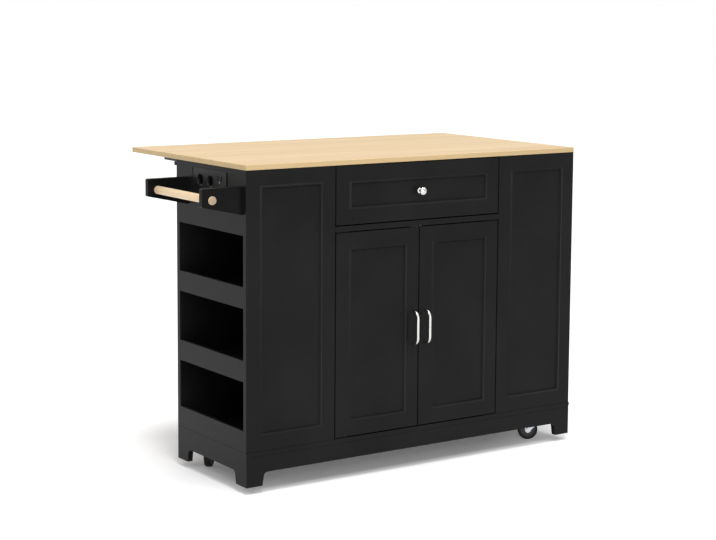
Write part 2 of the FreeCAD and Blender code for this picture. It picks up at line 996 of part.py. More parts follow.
# Drawer knob, turned in one piece
def knob():
    body = newBody(
        "drawer_knob",
        (
            d.body_width / 2,
            nothing,
            drawer_front_bottom + drawer_front_height / 2,
        ),
    )
    profile = sketch(body, "XY_Plane", "Half")
    # sketch x is the radius and -y points out of the drawer
    stem_end = d.knob_projection - d.knob_dome - d.knob_rim
    seat = d.recess_depth
    points = [
        (nothing, seat),
        (d.knob_foot_radius, seat),
        (d.knob_foot_radius, seat - d.knob_foot_thick),
        (d.knob_neck_radius, seat - d.knob_foot_thick * 2),
        (d.knob_neck_radius, -stem_end + d.knob_rim),
        (d.knob_head_radius, -stem_end),
        (d.knob_head_radius, -stem_end - d.knob_rim),
        (nothing, -d.knob_projection),
    ]
    dome = (d.knob_head_radius.value ** 2 + d.knob_dome.value ** 2) / (2 * d.knob_dome.value)
    text = f"(({d.knob_head_radius.text})^2 + ({d.knob_dome.text})^2) / (2 * {d.knob_dome.text})"
    outline(profile, points, {6: -Size(dome, text)})
    revolve(body, "Turning", profile, "V_Axis")


knob()


# Bow handles, one to a door
def handle(label, x):
    body = newBody(label, (x, nothing, handle_height))
    half = d.handle_spacing / 2
    r = d.handle_bend_radius
    out = d.handle_projection
    path = sketch(body, "YZ_Plane", "Path")
    stops = [
        (nothing, half),
        (-(out - r), half),
        (-out, half - r),
        (-out, -(half - r)),
        (-(out - r), -half),
        (nothing, -half),
    ]
    spots = [FreeCAD.Vector(a.value, b.value, 0) for a, b in stops]
    path.addGeometry(Part.LineSegment(spots[0], spots[1]))
    upper = FreeCAD.Vector(-(out - r).value, (half - r).value, 0)
    circle = Part.Circle(upper, FreeCAD.Vector(0, 0, 1), r.value)
    path.addGeometry(Part.ArcOfCircle(circle, math.pi / 2, math.pi))
    path.addGeometry(Part.LineSegment(spots[2], spots[3]))
    lower = FreeCAD.Vector(-(out - r).value, -(half - r).value, 0)
    circle = Part.Circle(lower, FreeCAD.Vector(0, 0, 1), r.value)
    path.addGeometry(Part.ArcOfCircle(circle, math.pi, math.pi * 1.5))
    path.addGeometry(Part.LineSegment(spots[4], spots[5]))
    for one, two in (((0, 2), (1, 1)), ((1, 2), (2, 1)), ((2, 2), (3, 1)), ((3, 2), (4, 1))):
        path.addConstraint(Sketcher.Constraint("Coincident", *one, *two))
    for geometry, end, point in (
        (0, 1, stops[0]),
        (0, 2, stops[1]),
        (2, 1, stops[2]),
        (2, 2, stops[3]),
        (4, 1, stops[4]),
        (4, 2, stops[5]),
    ):
        pin(path, geometry, end, point)
    for geometry in (1, 3):
        index = path.addConstraint(Sketcher.Constraint("Radius", geometry, r.value))
        path.setExpression(f"Constraints[{index}]", r.text)
    section = sketch(body, "XZ_Plane", "Section")
    ring(section, 0, half, d.handle_radius)
    pipe = body.newObject("PartDesign::AdditivePipe", label + "Bow")
    pipe.Profile = section
    pipe.Spine = path


handle("door_handle_left", d.body_width / 2 - d.front_gap / 2 - d.handle_edge_distance)
handle("door_handle_right", d.body_width / 2 + d.front_gap / 2 + d.handle_edge_distance)


# Pivot hinges: a plate in the gap above and below each door, whose pin turns in the door's end
plate_thick = d.front_gap - d.joint_gap


def pivotPlate(label, left, pin_place, level, up):
    """A plate on the board, with a pin that reaches into the door's end."""
    body = newBody(label, (left, nothing, level))
    plan = sketch(body, "XY_Plane", "Plate")
    rectangle(plan, 0, 0, d.pivot_plate_length, d.pivot_plate_depth)
    feature(body, "Pad", "Flat", plan, plate_thick, back=not up)
    plan = sketch(body, "XY_Plane", "Pin")
    ring(plan, pin_place, d.pivot_inset, d.pivot_pin_radius)
    feature(body, "Pad", "Shank", plan, d.front_gap + d.pivot_pin_reach, back=not up)
    return body


door_right_end = right_door_left + door_width
pivots = []
for end, left, pin_place in (
    ("left", door_left, d.pivot_inset),
    ("right", door_right_end - d.pivot_plate_length, d.pivot_plate_length - d.pivot_inset),
):
    pivots.append(pivotPlate("lower_pivot_" + end, left, pin_place, board_top, True))
    pivots.append(pivotPlate("upper_pivot_" + end, left, pin_place, rail_height, False))
gather("door_pivots", pivots)

# Magnetic catch under the dust board where the doors meet
board(
    "door_catch",
    (
        d.body_width / 2 - d.catch_width / 2,
        front_line,
        rail_height - d.catch_height,
    ),
    (d.catch_width, d.catch_depth, d.catch_height),
)

# Shelf pins let into the partition and the right side
pins = []
for end, left in (("left", partition_right), ("right", right_panel_left - d.pin_length)):
    for row, line in (("front", inner_shelf_front + d.pin_inset), ("rear", back_line - d.pin_inset)):
        body = newBody(f"pin_{row}_{end}", (left, line, inner_shelf_height - d.pin_radius))
        profile = sketch(body, "YZ_Plane", "Round")
        ring(profile, 0, 0, d.pin_radius)
        feature(body, "Pad", "Shank", profile, d.pin_length)
        pins.append(body)
gather("shelf_pins", pins)


# Domed bumpers on the ends of the bottom board, at the right side
def bumper(label, line):
    body = newBody(label, (d.body_width, line, board_bottom + d.bottom_board_thick / 2))
    profile = sketch(body, "XY_Plane", "Half")
    r, out = d.bumper_radius, d.bumper_projection
    dome = (r.value**2 + out.value**2) / (2 * out.value)
    text = f"(({r.text})^2 + ({out.text})^2) / (2 * {out.text})"
    outline(profile, [(nothing, nothing), (out, nothing), (nothing, r)], {1: Size(dome, text)})
    revolve(body, "Dome", profile, "H_Axis")
    return body


bumpers = [
    bumper("front_bumper", d.bumper_inset),
    bumper("rear_bumper", d.body_depth - d.bumper_inset),
]
gather("wall_bumpers", bumpers)

# Folding leaf brackets. The skill of this piece is in them: a wall plate with two pressed ears,
# a channel arm that turns on the upper rivet, and a brace on the lower rivet that folds into
# the channel. Their sketches have y = 0 and z = 0 on the leaf's hinge line.
channel_top = d.hinge_drop
channel_inner = d.arm_channel_width - d.bracket_sheet * 2
web_under = d.hinge_drop - d.bracket_sheet
ear_inner = d.ear_width - d.bracket_sheet * 2
plate_back = -d.hinge_out
plate_face = plate_back + d.wall_plate_thick
brace_tip_height = web_under - d.joint_gap - d.brace_end_radius
brace_rise = d.brace_drop + brace_tip_height
brace_angle = Size(
    math.degrees(math.asin(brace_rise.value / d.brace_length.value)),
    f"asin({brace_rise.text} / {d.brace_length.text})",
)


def wallPlate(label, x):
    body = newBody(label, (x, hinge_y, hinge_z))
    low = -(d.brace_drop + d.wall_plate_below)
    back = sketch(body, "XZ_Plane", "Back", -plate_face)
    rectangle(back, -d.wall_plate_width / 2, low, d.wall_plate_width, d.hinge_drop - low)
    feature(body, "Pad", "Plate", back, d.wall_plate_thick)
    ears = sketch(body, "YZ_Plane", "Ears")
    r = d.ear_radius
    clear = r * 2
    points = [
        (plate_face - d.bracket_sheet, r),
        (plate_face - d.bracket_sheet, -d.brace_drop - r),
        (nothing, -d.brace_drop - r),
        (r, -d.brace_drop),
        (r, nothing),
        (nothing, r),
    ]
    outline(ears, points, {2: r, 4: r})
    feature(body, "Pad", "EarBlock", ears, d.ear_width, middle=True)
    middle = sketch(body, "YZ_Plane", "Between")
    rectangle(
        middle,
        plate_face,
        -d.brace_drop - clear,
        clear - plate_face,
        d.brace_drop + clear * 2,
    )
    feature(body, "Pocket", "EarGap", middle, ear_inner, middle=True)
    bores = sketch(body, "YZ_Plane", "Bores")
    ring(bores, 0, 0, d.bracket_rivet_radius + d.rivet_fit)
    ring(bores, 0, -d.brace_drop, d.bracket_rivet_radius + d.rivet_fit)
    feature(body, "Pocket", "RivetHoles", bores, d.ear_width + d.overrun, middle=True)
    return body


def channelArm(label, x):
    body = newBody(label, (x, hinge_y, hinge_z))
    side = sketch(body, "YZ_Plane", "Side")
    r = d.arm_eye_radius
    low = -d.arm_channel_below
    points = [
        (nothing, r),
        (nothing, -r),
        (r, low),
        (d.arm_channel_length - r, low),
        (d.arm_channel_length, nothing),
        (d.arm_channel_length, channel_top),
        (d.leaf_lead, channel_top),
        (d.leaf_lead, r),
    ]
    outline(side, points, {0: r})
    feature(body, "Pad", "Block", side, d.arm_channel_width, middle=True)
    inside = sketch(body, "YZ_Plane", "Inside")
    rectangle(
        inside,
        -r - d.overrun,
        -r - d.overrun,
        d.arm_channel_length + r + d.overrun * 2,
        r + d.overrun + web_under,
    )
    feature(body, "Pocket", "Hollow", inside, channel_inner, middle=True)
    bore = sketch(body, "YZ_Plane", "Bore")
    ring(bore, 0, 0, d.bracket_rivet_radius + d.rivet_fit)
    feature(body, "Pocket", "RivetHole", bore, d.arm_channel_width + d.overrun, middle=True)
    return body


def brace(label, x):
    """A pressed channel brace along its own y axis, raised to meet the arm."""
    body = newBody(label, (x, hinge_y, hinge_z - d.brace_drop))
    turn(body, FreeCAD.Vector(1, 0, 0), brace_angle)
    side = sketch(body, "YZ_Plane", "Side")
    r = d.brace_end_radius
    points = [
        (nothing, r),
        (nothing, -r),
        (d.brace_length, -r),
        (d.brace_length, r),
    ]
    outline(side, points, {0: r, 2: r})
    feature(body, "Pad", "Block", side, d.brace_width, middle=True)
    inside = sketch(body, "YZ_Plane", "Inside")
    start = r * 2
    rectangle(inside, start, d.brace_sheet - r, d.brace_length - start * 2, start)
    inner = d.brace_width - d.brace_sheet * 2
    feature(body, "Pocket", "Hollow", inside, inner, middle=True)
    bore = sketch(body, "YZ_Plane", "Bore")
    ring(bore, 0, 0, d.bracket_rivet_radius + d.rivet_fit)
    feature(body, "Pocket", "RivetHole", bore, d.brace_width + d.overrun, middle=True)


def rivet(label, x, level, width):
    """A rivet across a bracket: shank and two flat heads."""
    body = newBody(label, (x, hinge_y, level))
    shank = sketch(body, "YZ_Plane", "Shank")
    ring(shank, 0, 0, d.bracket_rivet_radius)
    feature(body, "Pad", "Pin", shank, width + d.rivet_head_thick * 2, middle=True)
    for side, lift, back in (("Right", width / 2, False), ("Left", -(width / 2), True)):
        head = sketch(body, "YZ_Plane", side + "Head", lift)
        ring(head, 0, 0, d.bracket_rivet_head)
        feature(body, "Pad", side + "Disc", head, d.rivet_head_thick, back=back)
    return body


def catchPlate(label, x):
    """The leaning release lever on the inner face of the arm's flange, with a round end."""
    body = newBody(label, (x + channel_inner / 2 - d.catch_plate_thick, hinge_y, hinge_z))
    side = sketch(body, "YZ_Plane", "Side")
    near = d.catch_plate_place
    r = d.catch_plate_end_radius
    low = r - d.catch_plate_below
    end = near + d.catch_plate_length + d.catch_plate_lean
    points = [
        (near, web_under),
        (end - r * 2, low),
        (end, low),
        (near + d.catch_plate_length, web_under),
    ]
    outline(side, points, {1: r})
    feature(body, "Pad", "Plate", side, d.catch_plate_thick)
    return body


bracket_places = (("left", d.bracket_inset), ("right", d.body_width - d.bracket_inset))
gather("bracket_plates", [wallPlate("wall_plate_" + end, x) for end, x in bracket_places])
gather("bracket_arms", [channelArm("channel_arm_" + end, x) for end, x in bracket_places])
for end, x in bracket_places:
    brace("brace_" + end, x)
rivets = [rivet("hinge_rivet_" + end, x, hinge_z, d.arm_channel_width) for end, x in bracket_places]
lower = hinge_z - d.brace_drop
rivets += [rivet("brace_rivet_" + end, x, lower, d.ear_width) for end, x in bracket_places]
gather("bracket_rivets", rivets)
gather("bracket_catches", [catchPlate("catch_plate_" + end, x) for end, x in bracket_places])

# Casters. Each stands on a block screwed into a corner under the bottom board.
# In their sketches z is the height above the floor and the wheel trails towards -x.
plate_under = d.caster_height - d.caster_plate_thick
race_split = d.fork_top_height + d.race_rise
fork_gap = d.wheel_hub_width + d.fork_slack * 2
fork_width = fork_gap + d.fork_sheet * 2
far_x = d.body_width - d.caster_inset_side
far_y = d.body_depth - d.caster_inset_back
upright_axis = FreeCAD.Vector(0, 0, 1)
corners = {
    "front_left": (d.caster_inset_side, d.caster_inset_front, d.caster_turn_front),
    "front_right": (far_x, d.caster_inset_front, d.caster_turn_front),
    "rear_left": (d.caster_inset_side, far_y, d.caster_turn_rear_left),
    "rear_right": (far_x, far_y, d.caster_turn_rear_right),
}


def casterPlate(label, x, y):
    """Top plate with four holes, its raceway, and the kingpin riveted into it."""
    body = newBody(label, (x, y, nothing))
    half = d.caster_plate_size / 2
    r = d.caster_plate_round
    plan = sketch(body, "XY_Plane", "Plan", plate_under)
    points = [
        (-half + r, -half),
        (half - r, -half),
        (half, -half + r),
        (half, half - r),
        (half - r, half),
        (-half + r, half),
        (-half, half - r),
        (-half, -half + r),
    ]
    outline(plan, points, {1: r, 3: r, 5: r, 7: r})
    spot = half - d.caster_hole_inset
    for across in (spot, -spot):
        for along in (spot, -spot):
            ring(plan, across, along, d.caster_hole_radius)
    feature(body, "Pad", "Plate", plan, d.caster_plate_thick)
    half_section = sketch(body, "XZ_Plane", "Race")
    head_top = d.fork_top_height - d.fork_sheet - d.race_gap
    head_low = head_top - d.kingpin_head_thick
    points = [
        (nothing, head_low),
        (d.kingpin_head_radius, head_low),
        (d.kingpin_head_radius, head_top),
        (d.kingpin_radius, head_top),
        (d.kingpin_radius, race_split + d.race_gap),
        (d.race_radius - d.race_step, race_split + d.race_gap),
        (d.race_radius, race_split + d.race_gap + d.race_step),
        (d.race_radius, plate_under),
        (nothing, plate_under),
    ]
    outline(half_section, points)
    revolve(body, "Raceway", half_section, "V_Axis")
    return body


def fork(label, x, y, angle, braked):
    """Pressed fork: two legs with round eyes, a crown, and the lower raceway on it."""
    body = newBody(label + "_fork", (x, y, nothing))
    turn(body, upright_axis, angle)
    side = sketch(body, "XZ_Plane", "Leg")
    top = d.fork_top_height
    r = d.fork_eye_radius
    points = [
        (-d.fork_back_reach, top),
        (-d.fork_back_reach, top - d.fork_shoulder_drop / 2),
        (-d.caster_trail - r, d.wheel_radius),
        (-d.caster_trail + r, d.wheel_radius),
        (d.fork_crown_half, top - d.fork_shoulder_drop),
        (d.fork_crown_half, top),
    ]
    outline(side, points, {2: r})
    feature(body, "Pad", "Legs", side, fork_width, middle=True)
    under_crown = top - d.fork_sheet
    inside = sketch(body, "XZ_Plane", "Inside")
    start = -d.fork_back_reach - d.overrun
    low = d.wheel_radius - r - d.overrun
    rectangle(inside, start, low, d.fork_crown_half + d.overrun - start, under_crown - low)
    feature(body, "Pocket", "WheelGap", inside, fork_gap, middle=True)
    window = sketch(body, "XZ_Plane", "Window")
    rectangle(window, start, low, -d.fork_crown_half - start, top + d.overrun - low)
    feature(body, "Pocket", "PedalGap", window, fork_gap, middle=True)
    half_section = sketch(body, "XZ_Plane", "Race")
    bore = d.kingpin_radius + d.kingpin_fit
    points = [
        (bore, under_crown),
        (d.fork_crown_half - d.race_step, under_crown),
        (d.fork_crown_half - d.race_step, top),
        (d.fork_crown_half, top),
        (d.race_radius - d.race_step, race_split),
        (bore, race_split),
    ]
    outline(half_section, points)
    revolve(body, "LowerRace", half_section, "V_Axis")
    hole = sketch(body, "XY_Plane", "KingpinBore", under_crown - d.overrun)
    ring(hole, 0, 0, bore)
    feature(body, "Pocket", "Bore", hole, race_split - under_crown + d.overrun * 2, back=True)
    eyes = sketch(body, "XZ_Plane", "Eyes")
    ring(eyes, -d.caster_trail, d.wheel_radius, d.axle_radius + d.wheel_fit)
    if braked:
        ring(eyes, -d.pedal_pivot_out, d.pedal_pivot_height, d.pedal_pin_radius + d.wheel_fit)
    feature(body, "Pocket", "AxleHoles", eyes, fork_width + d.overrun, middle=True)
    members = [body, axle(label + "_axle", x, y, angle)]
    if braked:
        members.append(pedalPin(label + "_pedal_pin", x, y, angle))
    gather("fork_" + label, members)


def axle(label, x, y, angle):
    """Axle bolt with a round head at each leg."""
    body = newBody(label, (x, y, nothing))
    turn(body, upright_axis, angle)
    spot = (-d.caster_trail, d.wheel_radius)
    shank = sketch(body, "XZ_Plane", "Shank")
    ring(shank, *spot, d.axle_radius)
    feature(body, "Pad", "Bolt", shank, fork_width + d.axle_head_thick * 2, middle=True)
    for end, lift, back in (("Near", fork_width / 2, False), ("Far", -(fork_width / 2), True)):
        head = sketch(body, "XZ_Plane", end, lift)
        ring(head, *spot, d.axle_head_radius)
        feature(body, "Pad", end + "Head", head, d.axle_head_thick, back=back)
    return body


def pedalPin(label, x, y, angle):
    body = newBody(label, (x, y, nothing))
    turn(body, upright_axis, angle)
    shank = sketch(body, "XZ_Plane", "Shank")
    ring(shank, -d.pedal_pivot_out, d.pedal_pivot_height, d.pedal_pin_radius)
    feature(body, "Pad", "Pin", shank, fork_width, middle=True)
    return body


def wheel(label, x, y, angle):
    """Wheel with a rounded tread, a dished web and a hub."""
    body = newBody(label, (x, y, nothing))
    turn(body, upright_axis, angle)
    section = sketch(body, "XY_Plane", "Section", d.wheel_radius)
    hub = d.wheel_hub_width / 2
    face = d.wheel_width / 2
    web = face - d.wheel_dish_depth
    tread = d.wheel_radius
    bore = d.axle_radius + d.wheel_fit
    r = d.wheel_tyre_round
    dish = d.wheel_dish_radius
    centre = -d.caster_trail
    points = [
        (centre + bore, -hub),
        (centre + d.wheel_hub_radius, -hub),
        (centre + d.wheel_hub_radius, -web),
        (centre + dish, -web),
        (centre + dish, -face),
        (centre + tread - r, -face),
        (centre + tread, -face + r),
        (centre + tread, face - r),
        (centre + tread - r, face),
        (centre + dish, face),
        (centre + dish, web),
        (centre + d.wheel_hub_radius, web),
        (centre + d.wheel_hub_radius, hub),
        (centre + bore, hub),
    ]
    outline(section, points, {5: r, 7: r})
    line = sketch(body, "XY_Plane", "AxleLine", d.wheel_radius)
    far_end = FreeCAD.Vector(centre.value, hub.value, 0)
    line.addGeometry(Part.LineSegment(FreeCAD.Vector(centre.value, 0, 0), far_end))
    pin(line, 0, 1, (centre, nothing))
    pin(line, 0, 2, (centre, hub))
    revolve(body, "Turning", section, "Edge1", line)


def pedal(label, x, y, angle):
    """Brake pedal on its pin across the fork, above the tread."""
    body = newBody(label, (x, y, nothing))
    turn(body, upright_axis, angle)
    side = sketch(body, "XZ_Plane", "Side")
    r = d.pedal_root
    out, level = -d.pedal_pivot_out, d.pedal_pivot_height
    tip, tip_level = -d.pedal_tip_out, d.pedal_tip_height
    points = [
        (out + r, level),
        (out, level + r),
        (tip, tip_level + d.pedal_sheet),
        (tip, tip_level),
        (out - r, level - d.pedal_sheet),
        (out + r, level - d.pedal_sheet),
    ]
    outline(side, points, {0: r})
    feature(body, "Pad", "Plate", side, d.pedal_width, middle=True)
    bore = sketch(body, "XZ_Plane", "Bore")
    ring(bore, out, level, d.pedal_pin_radius + d.wheel_fit)
    feature(body, "Pocket", "PinHole", bore, d.pedal_width + d.overrun, middle=True)


blocks = []
plates = []
block_thick = board_bottom - d.caster_height
for label, (x, y, angle) in corners.items():
    left = d.board_thick if label.endswith("left") else right_panel_left - d.block_length
    front = d.board_thick if label.startswith("front") else back_line - d.block_depth
    size = (d.block_length, d.block_depth, block_thick)
    blocks.append(board("block_" + label, (left, front, d.caster_height), size))
    plates.append(casterPlate("plate_" + label, x, y))
    braked = label.startswith("rear")
    fork(label, x, y, angle, braked)
    wheel("wheel_" + label, x, y, angle)
    if braked:
        pedal("pedal_" + label, x, y, angle)
gather("caster_blocks", blocks)
gather("caster_plates", plates)

doc.recompute()

failed = []
for item in doc.Objects:
    if "Invalid" in item.State or "Error" in item.State:
        failed.append(item.Label + " " + str(item.State))
for item in finished:
    if item.Shape.isNull() or not item.Shape.isValid():
        failed.append(item.Label + " shape")
if failed:
    raise RuntimeError("these objects failed: " + ", ".join(failed))

os.makedirs("parts", exist_ok=True)
for item in finished:
    item.Shape.exportStep(f"parts/{item.Label}.step")
print(len(finished), "nodes")
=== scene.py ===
import bpy, bmesh, json, math
from mathutils import Matrix, Vector


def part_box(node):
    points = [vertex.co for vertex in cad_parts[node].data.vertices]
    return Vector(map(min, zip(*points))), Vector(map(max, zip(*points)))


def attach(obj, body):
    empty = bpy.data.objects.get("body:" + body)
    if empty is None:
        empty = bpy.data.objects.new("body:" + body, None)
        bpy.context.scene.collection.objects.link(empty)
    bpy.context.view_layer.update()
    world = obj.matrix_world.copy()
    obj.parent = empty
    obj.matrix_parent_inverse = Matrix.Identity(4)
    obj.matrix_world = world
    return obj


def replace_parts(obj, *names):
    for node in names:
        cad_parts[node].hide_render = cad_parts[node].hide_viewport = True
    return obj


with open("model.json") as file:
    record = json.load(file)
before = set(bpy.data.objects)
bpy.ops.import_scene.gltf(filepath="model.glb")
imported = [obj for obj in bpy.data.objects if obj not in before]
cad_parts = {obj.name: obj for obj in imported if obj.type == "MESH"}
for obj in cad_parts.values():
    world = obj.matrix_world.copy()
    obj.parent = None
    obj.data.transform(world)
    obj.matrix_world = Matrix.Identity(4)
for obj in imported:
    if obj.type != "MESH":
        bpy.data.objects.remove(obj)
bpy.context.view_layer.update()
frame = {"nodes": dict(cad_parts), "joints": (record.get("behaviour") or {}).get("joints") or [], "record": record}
nodes = frame["nodes"]
joints = {joint["name"]: joint for joint in frame["joints"]}
mm = 0.001
scene = bpy.context.scene
print("frame loaded:", len(nodes), "nodes")


# Helpers

def hexColour(code):
    # From an sRGB code to linear light, opaque
    parts = [int(code[i:i + 2], 16) / 255 for i in (0, 2, 4)]
    return tuple(c / 12.92 if c <= 0.04045 else ((c + 0.055) / 1.055) ** 2.4 for c in parts) + (1.0,)


def addNode(tree, kind, settings=None, inputs=None, links=None):
    # links: input name -> output socket of another node
    node = tree.nodes.new(kind)
    for name, value in (settings or {}).items():
        setattr(node, name, value)
    for name, value in (inputs or {}).items():
        node.inputs[name].default_value = value
    for name, socket in (links or {}).items():
        tree.links.new(socket, node.inputs[name])
    return node


def newMaterial(name, colour, roughness, metallic=0.0, **sockets):
    material = bpy.data.materials.new(name)
    material.use_nodes = True
    shader = material.node_tree.nodes["Principled BSDF"]
    shader.inputs["Base Color"].default_value = colour
    shader.inputs["Roughness"].default_value = roughness
    shader.inputs["Metallic"].default_value = metallic
    for socket, value in sockets.items():
        shader.inputs[socket.replace("_", " ")].default_value = value
    return material, material.node_tree, shader


def placeOn(tree, scale=(1, 1, 1), middle=(0, 0, 0)):
    # Object coordinates, stretched along the grain and centred where a pattern turns round an axis
    coords = addNode(tree, "ShaderNodeTexCoord")
    return addNode(tree, "ShaderNodeMapping", inputs={"Scale": scale, "Location": middle},
                   links={"Vector": coords.outputs["Object"]}).outputs["Vector"]


# Materials

# Shared by all: octaves of a noise, the part of its range that counts, and the samples of a softened edge
patternValues = {"detail": 3.0, "cloudRange": (0.36, 0.66), "glossRange": (0.3, 0.7), "edgeSamples": 6}


def endShader(tree, shader, v, colour, height, pattern=None):
    # Colour, then a fine relief over softened edges, and a gloss that wanders with a pattern
    relief = addNode(tree, "ShaderNodeBump", inputs={"Distance": v["reliefMm"] * mm, "Strength": v["reliefShare"]},
                     links={"Height": height})
    if "edgeMm" in v:
        edge = addNode(tree, "ShaderNodeBevel", {"samples": patternValues["edgeSamples"]},
                       {"Radius": v["edgeMm"] * mm})
        tree.links.new(edge.outputs["Normal"], relief.inputs["Normal"])
    if pattern:
        low, high = patternValues["glossRange"]
        gloss = addNode(tree, "ShaderNodeMapRange",
                        inputs={"From Min": low, "From Max": high, "To Min": v["roughness"] - v["wander"],
                                "To Max": v["roughness"] + v["wander"]}, links={"Value": pattern})
        tree.links.new(gloss.outputs["Result"], shader.inputs["Roughness"])
    tree.links.new(colour, shader.inputs["Base Color"])
    tree.links.new(relief.outputs["Normal"], shader.inputs["Normal"])


def madeSurface(name, v, metallic=0.0, **sockets):
    # Two colours clouded together, from sizes in mm
    material, tree, shader = newMaterial(name, hexColour(v["colour"]), v["roughness"], metallic, **sockets)
    place = placeOn(tree)
    cloud = addNode(tree, "ShaderNodeTexNoise",
                    inputs={"Scale": 1 / (v["cloudMm"] * mm), "Detail": patternValues["detail"]},
                    links={"Vector": place})
    low, high = patternValues["cloudRange"]
    share = addNode(tree, "ShaderNodeMapRange", inputs={"From Min": low, "From Max": high},
                    links={"Value": cloud.outputs["Fac"]})
    blend = addNode(tree, "ShaderNodeMix", {"data_type": "RGBA"},
                    {6: hexColour(v["colour"]), 7: hexColour(v["second"])}, {0: share.outputs["Result"]})
    grain = addNode(tree, "ShaderNodeTexNoise",
                    inputs={"Scale": 1 / (v["grainMm"] * mm), "Detail": patternValues["detail"]},
                    links={"Vector": place})
    endShader(tree, shader, v, blend.outputs[2], grain.outputs["Fac"], cloud.outputs["Fac"])
    return material


# Black satin lacquer sprayed on MDF: a soft sheen, faint orange peel, and edges that catch the light
lacquerValues = {"colour": "141414", "second": "191919", "cloudMm": 180.0, "roughness": 0.3, "wander": 0.03,
                 "grainMm": 1.6, "reliefMm": 0.02, "reliefShare": 0.35, "edgeMm": 0.9}
lacquer = madeSurface("sprayedLacquer", lacquerValues, Specular_IOR_Level=0.09)

# The same lacquer on the turned-in rail arms, painted a deeper black: painted shade, darker than the lit lacquer
armShadeCoatValues = {**lacquerValues, "colour": "0e0e0e", "second": "121212"}
armShadeCoat = madeSurface("railArmLacquer", armShadeCoatValues, Specular_IOR_Level=0.07)

# Chrome plate on a die casting: mirror bright, with the softest haze
chromeValues = {"colour": "c4c3c1", "second": "cfcecb", "cloudMm": 8.0, "roughness": 0.09, "wander": 0.03,
                "grainMm": 1.0, "reliefMm": 0.002, "reliefShare": 0.2, "edgeMm": 0.2}
chrome = madeSurface("polishedChrome", chromeValues, metallic=1.0)

# Pressed steel under bright zinc: bluish, softly mottled by handling
zincValues = {"colour": "b4b9c0", "second": "d3d5d8", "cloudMm": 6.0, "roughness": 0.32, "wander": 0.1,
              "grainMm": 1.1, "reliefMm": 0.01, "reliefShare": 0.3, "edgeMm": 0.4}
zinc = madeSurface("brightZinc", zincValues, metallic=1.0)

# Nickelled brass contact springs: warm, with a dull bloom
brassValues = {"colour": "c8b484", "second": "d4c194", "cloudMm": 3.0, "roughness": 0.3, "wander": 0.08,
               "grainMm": 0.8, "reliefMm": 0.005, "reliefShare": 0.2, "edgeMm": 0.2}
brass = madeSurface("nickelledBrass", brassValues, metallic=1.0)

# Black powder coat on the leaf brackets: a fine pebble that breaks the highlight
powderValues = {"colour": "1a1a1b", "second": "242426", "cloudMm": 33.0, "roughness": 0.51, "wander": 0.06,
                "grainMm": 0.9, "reliefMm": 0.03, "reliefShare": 0.5, "edgeMm": 0.4}
powder = madeSurface("powderCoat", powderValues)

# Phosphated steel door pivots: dull, and nearly black as painted shade for the door gaps they sit in
pivotShadeSteelValues = {**powderValues, "colour": "050505", "second": "080808", "roughness": 0.7}
pivotShadeSteel = madeSurface("phosphatedSteel", pivotShadeSteelValues, Specular_IOR_Level=0.05)

# Injection-moulded ABS, spark eroded: an even, slightly soft gloss, near black for the module
blackAbsValues = {"colour": "0c0c0d", "second": "111112", "cloudMm": 25.0, "roughness": 0.4, "wander": 0.05,
                  "grainMm": 0.7, "reliefMm": 0.02, "reliefShare": 0.4, "edgeMm": 0.3}
blackAbs = madeSurface("mouldedAbsBlack", blackAbsValues, Specular_IOR_Level=0.25)

# The same moulding in pale grey, for the door catch and the lamp's lens
paleAbsValues = {**blackAbsValues, "colour": "bdbdb8", "second": "cfcfca", "roughness": 0.42}
paleAbs = madeSurface("mouldedAbsPale", paleAbsValues)

# Stick-on bumper of soft rubber: matt, takes a little light at its rim
bumperValues = {**blackAbsValues, "colour": "151515", "second": "1c1c1c", "roughness": 0.62, "wander": 0.08}
bumper = madeSurface("bumperRubber", bumperValues)

# Thermoplastic rubber tyre: almost matt, dusty where it rolls
treadValues = {"colour": "0f0f0f", "second": "1d1c1a", "cloudMm": 5.0, "roughness": 0.61, "wander": 0.1,
               "grainMm": 1.2, "reliefMm": 0.05, "reliefShare": 0.4, "edgeMm": 0.3}
tread = madeSurface("rubberTread", treadValues, Specular_IOR_Level=0.2)

# Polypropylene hub: a waxy dark grey
hubValues = {**blackAbsValues, "colour": "1b1b1c", "second": "242425", "roughness": 0.45}
hubPlastic = madeSurface("hubPolypropylene", hubValues)

# Oak board under a matt oil: long wandering figure, fine pores drawn out along the grain, and painted shade
# that darkens the board's narrow upright edges by their facing
oakValues = {"pale": "e9cc9d", "mid": "ddbc89", "dark": "cba670", "pore": "bb9460", "edgeBand": "ab9569",
             "figureMm": 26.0, "figureDetail": 5.0, "figureRough": 0.62, "figureRange": (0.36, 0.64),
             "bandMm": 220.0, "bandRange": (0.45, 0.8), "bandShare": 0.45, "poreMm": 0.9, "poreRough": 0.7,
             "poreRange": (0.58, 0.72), "poreShare": 0.38, "plainDetail": 2.0, "stretchShare": 0.035,
             "edgeRange": (0.2, 0.5), "edgeShare": 0.6, "roughness": 0.46, "wander": 0.06,
             "reliefMm": 0.03, "reliefShare": 0.3, "edgeMm": 0.8}


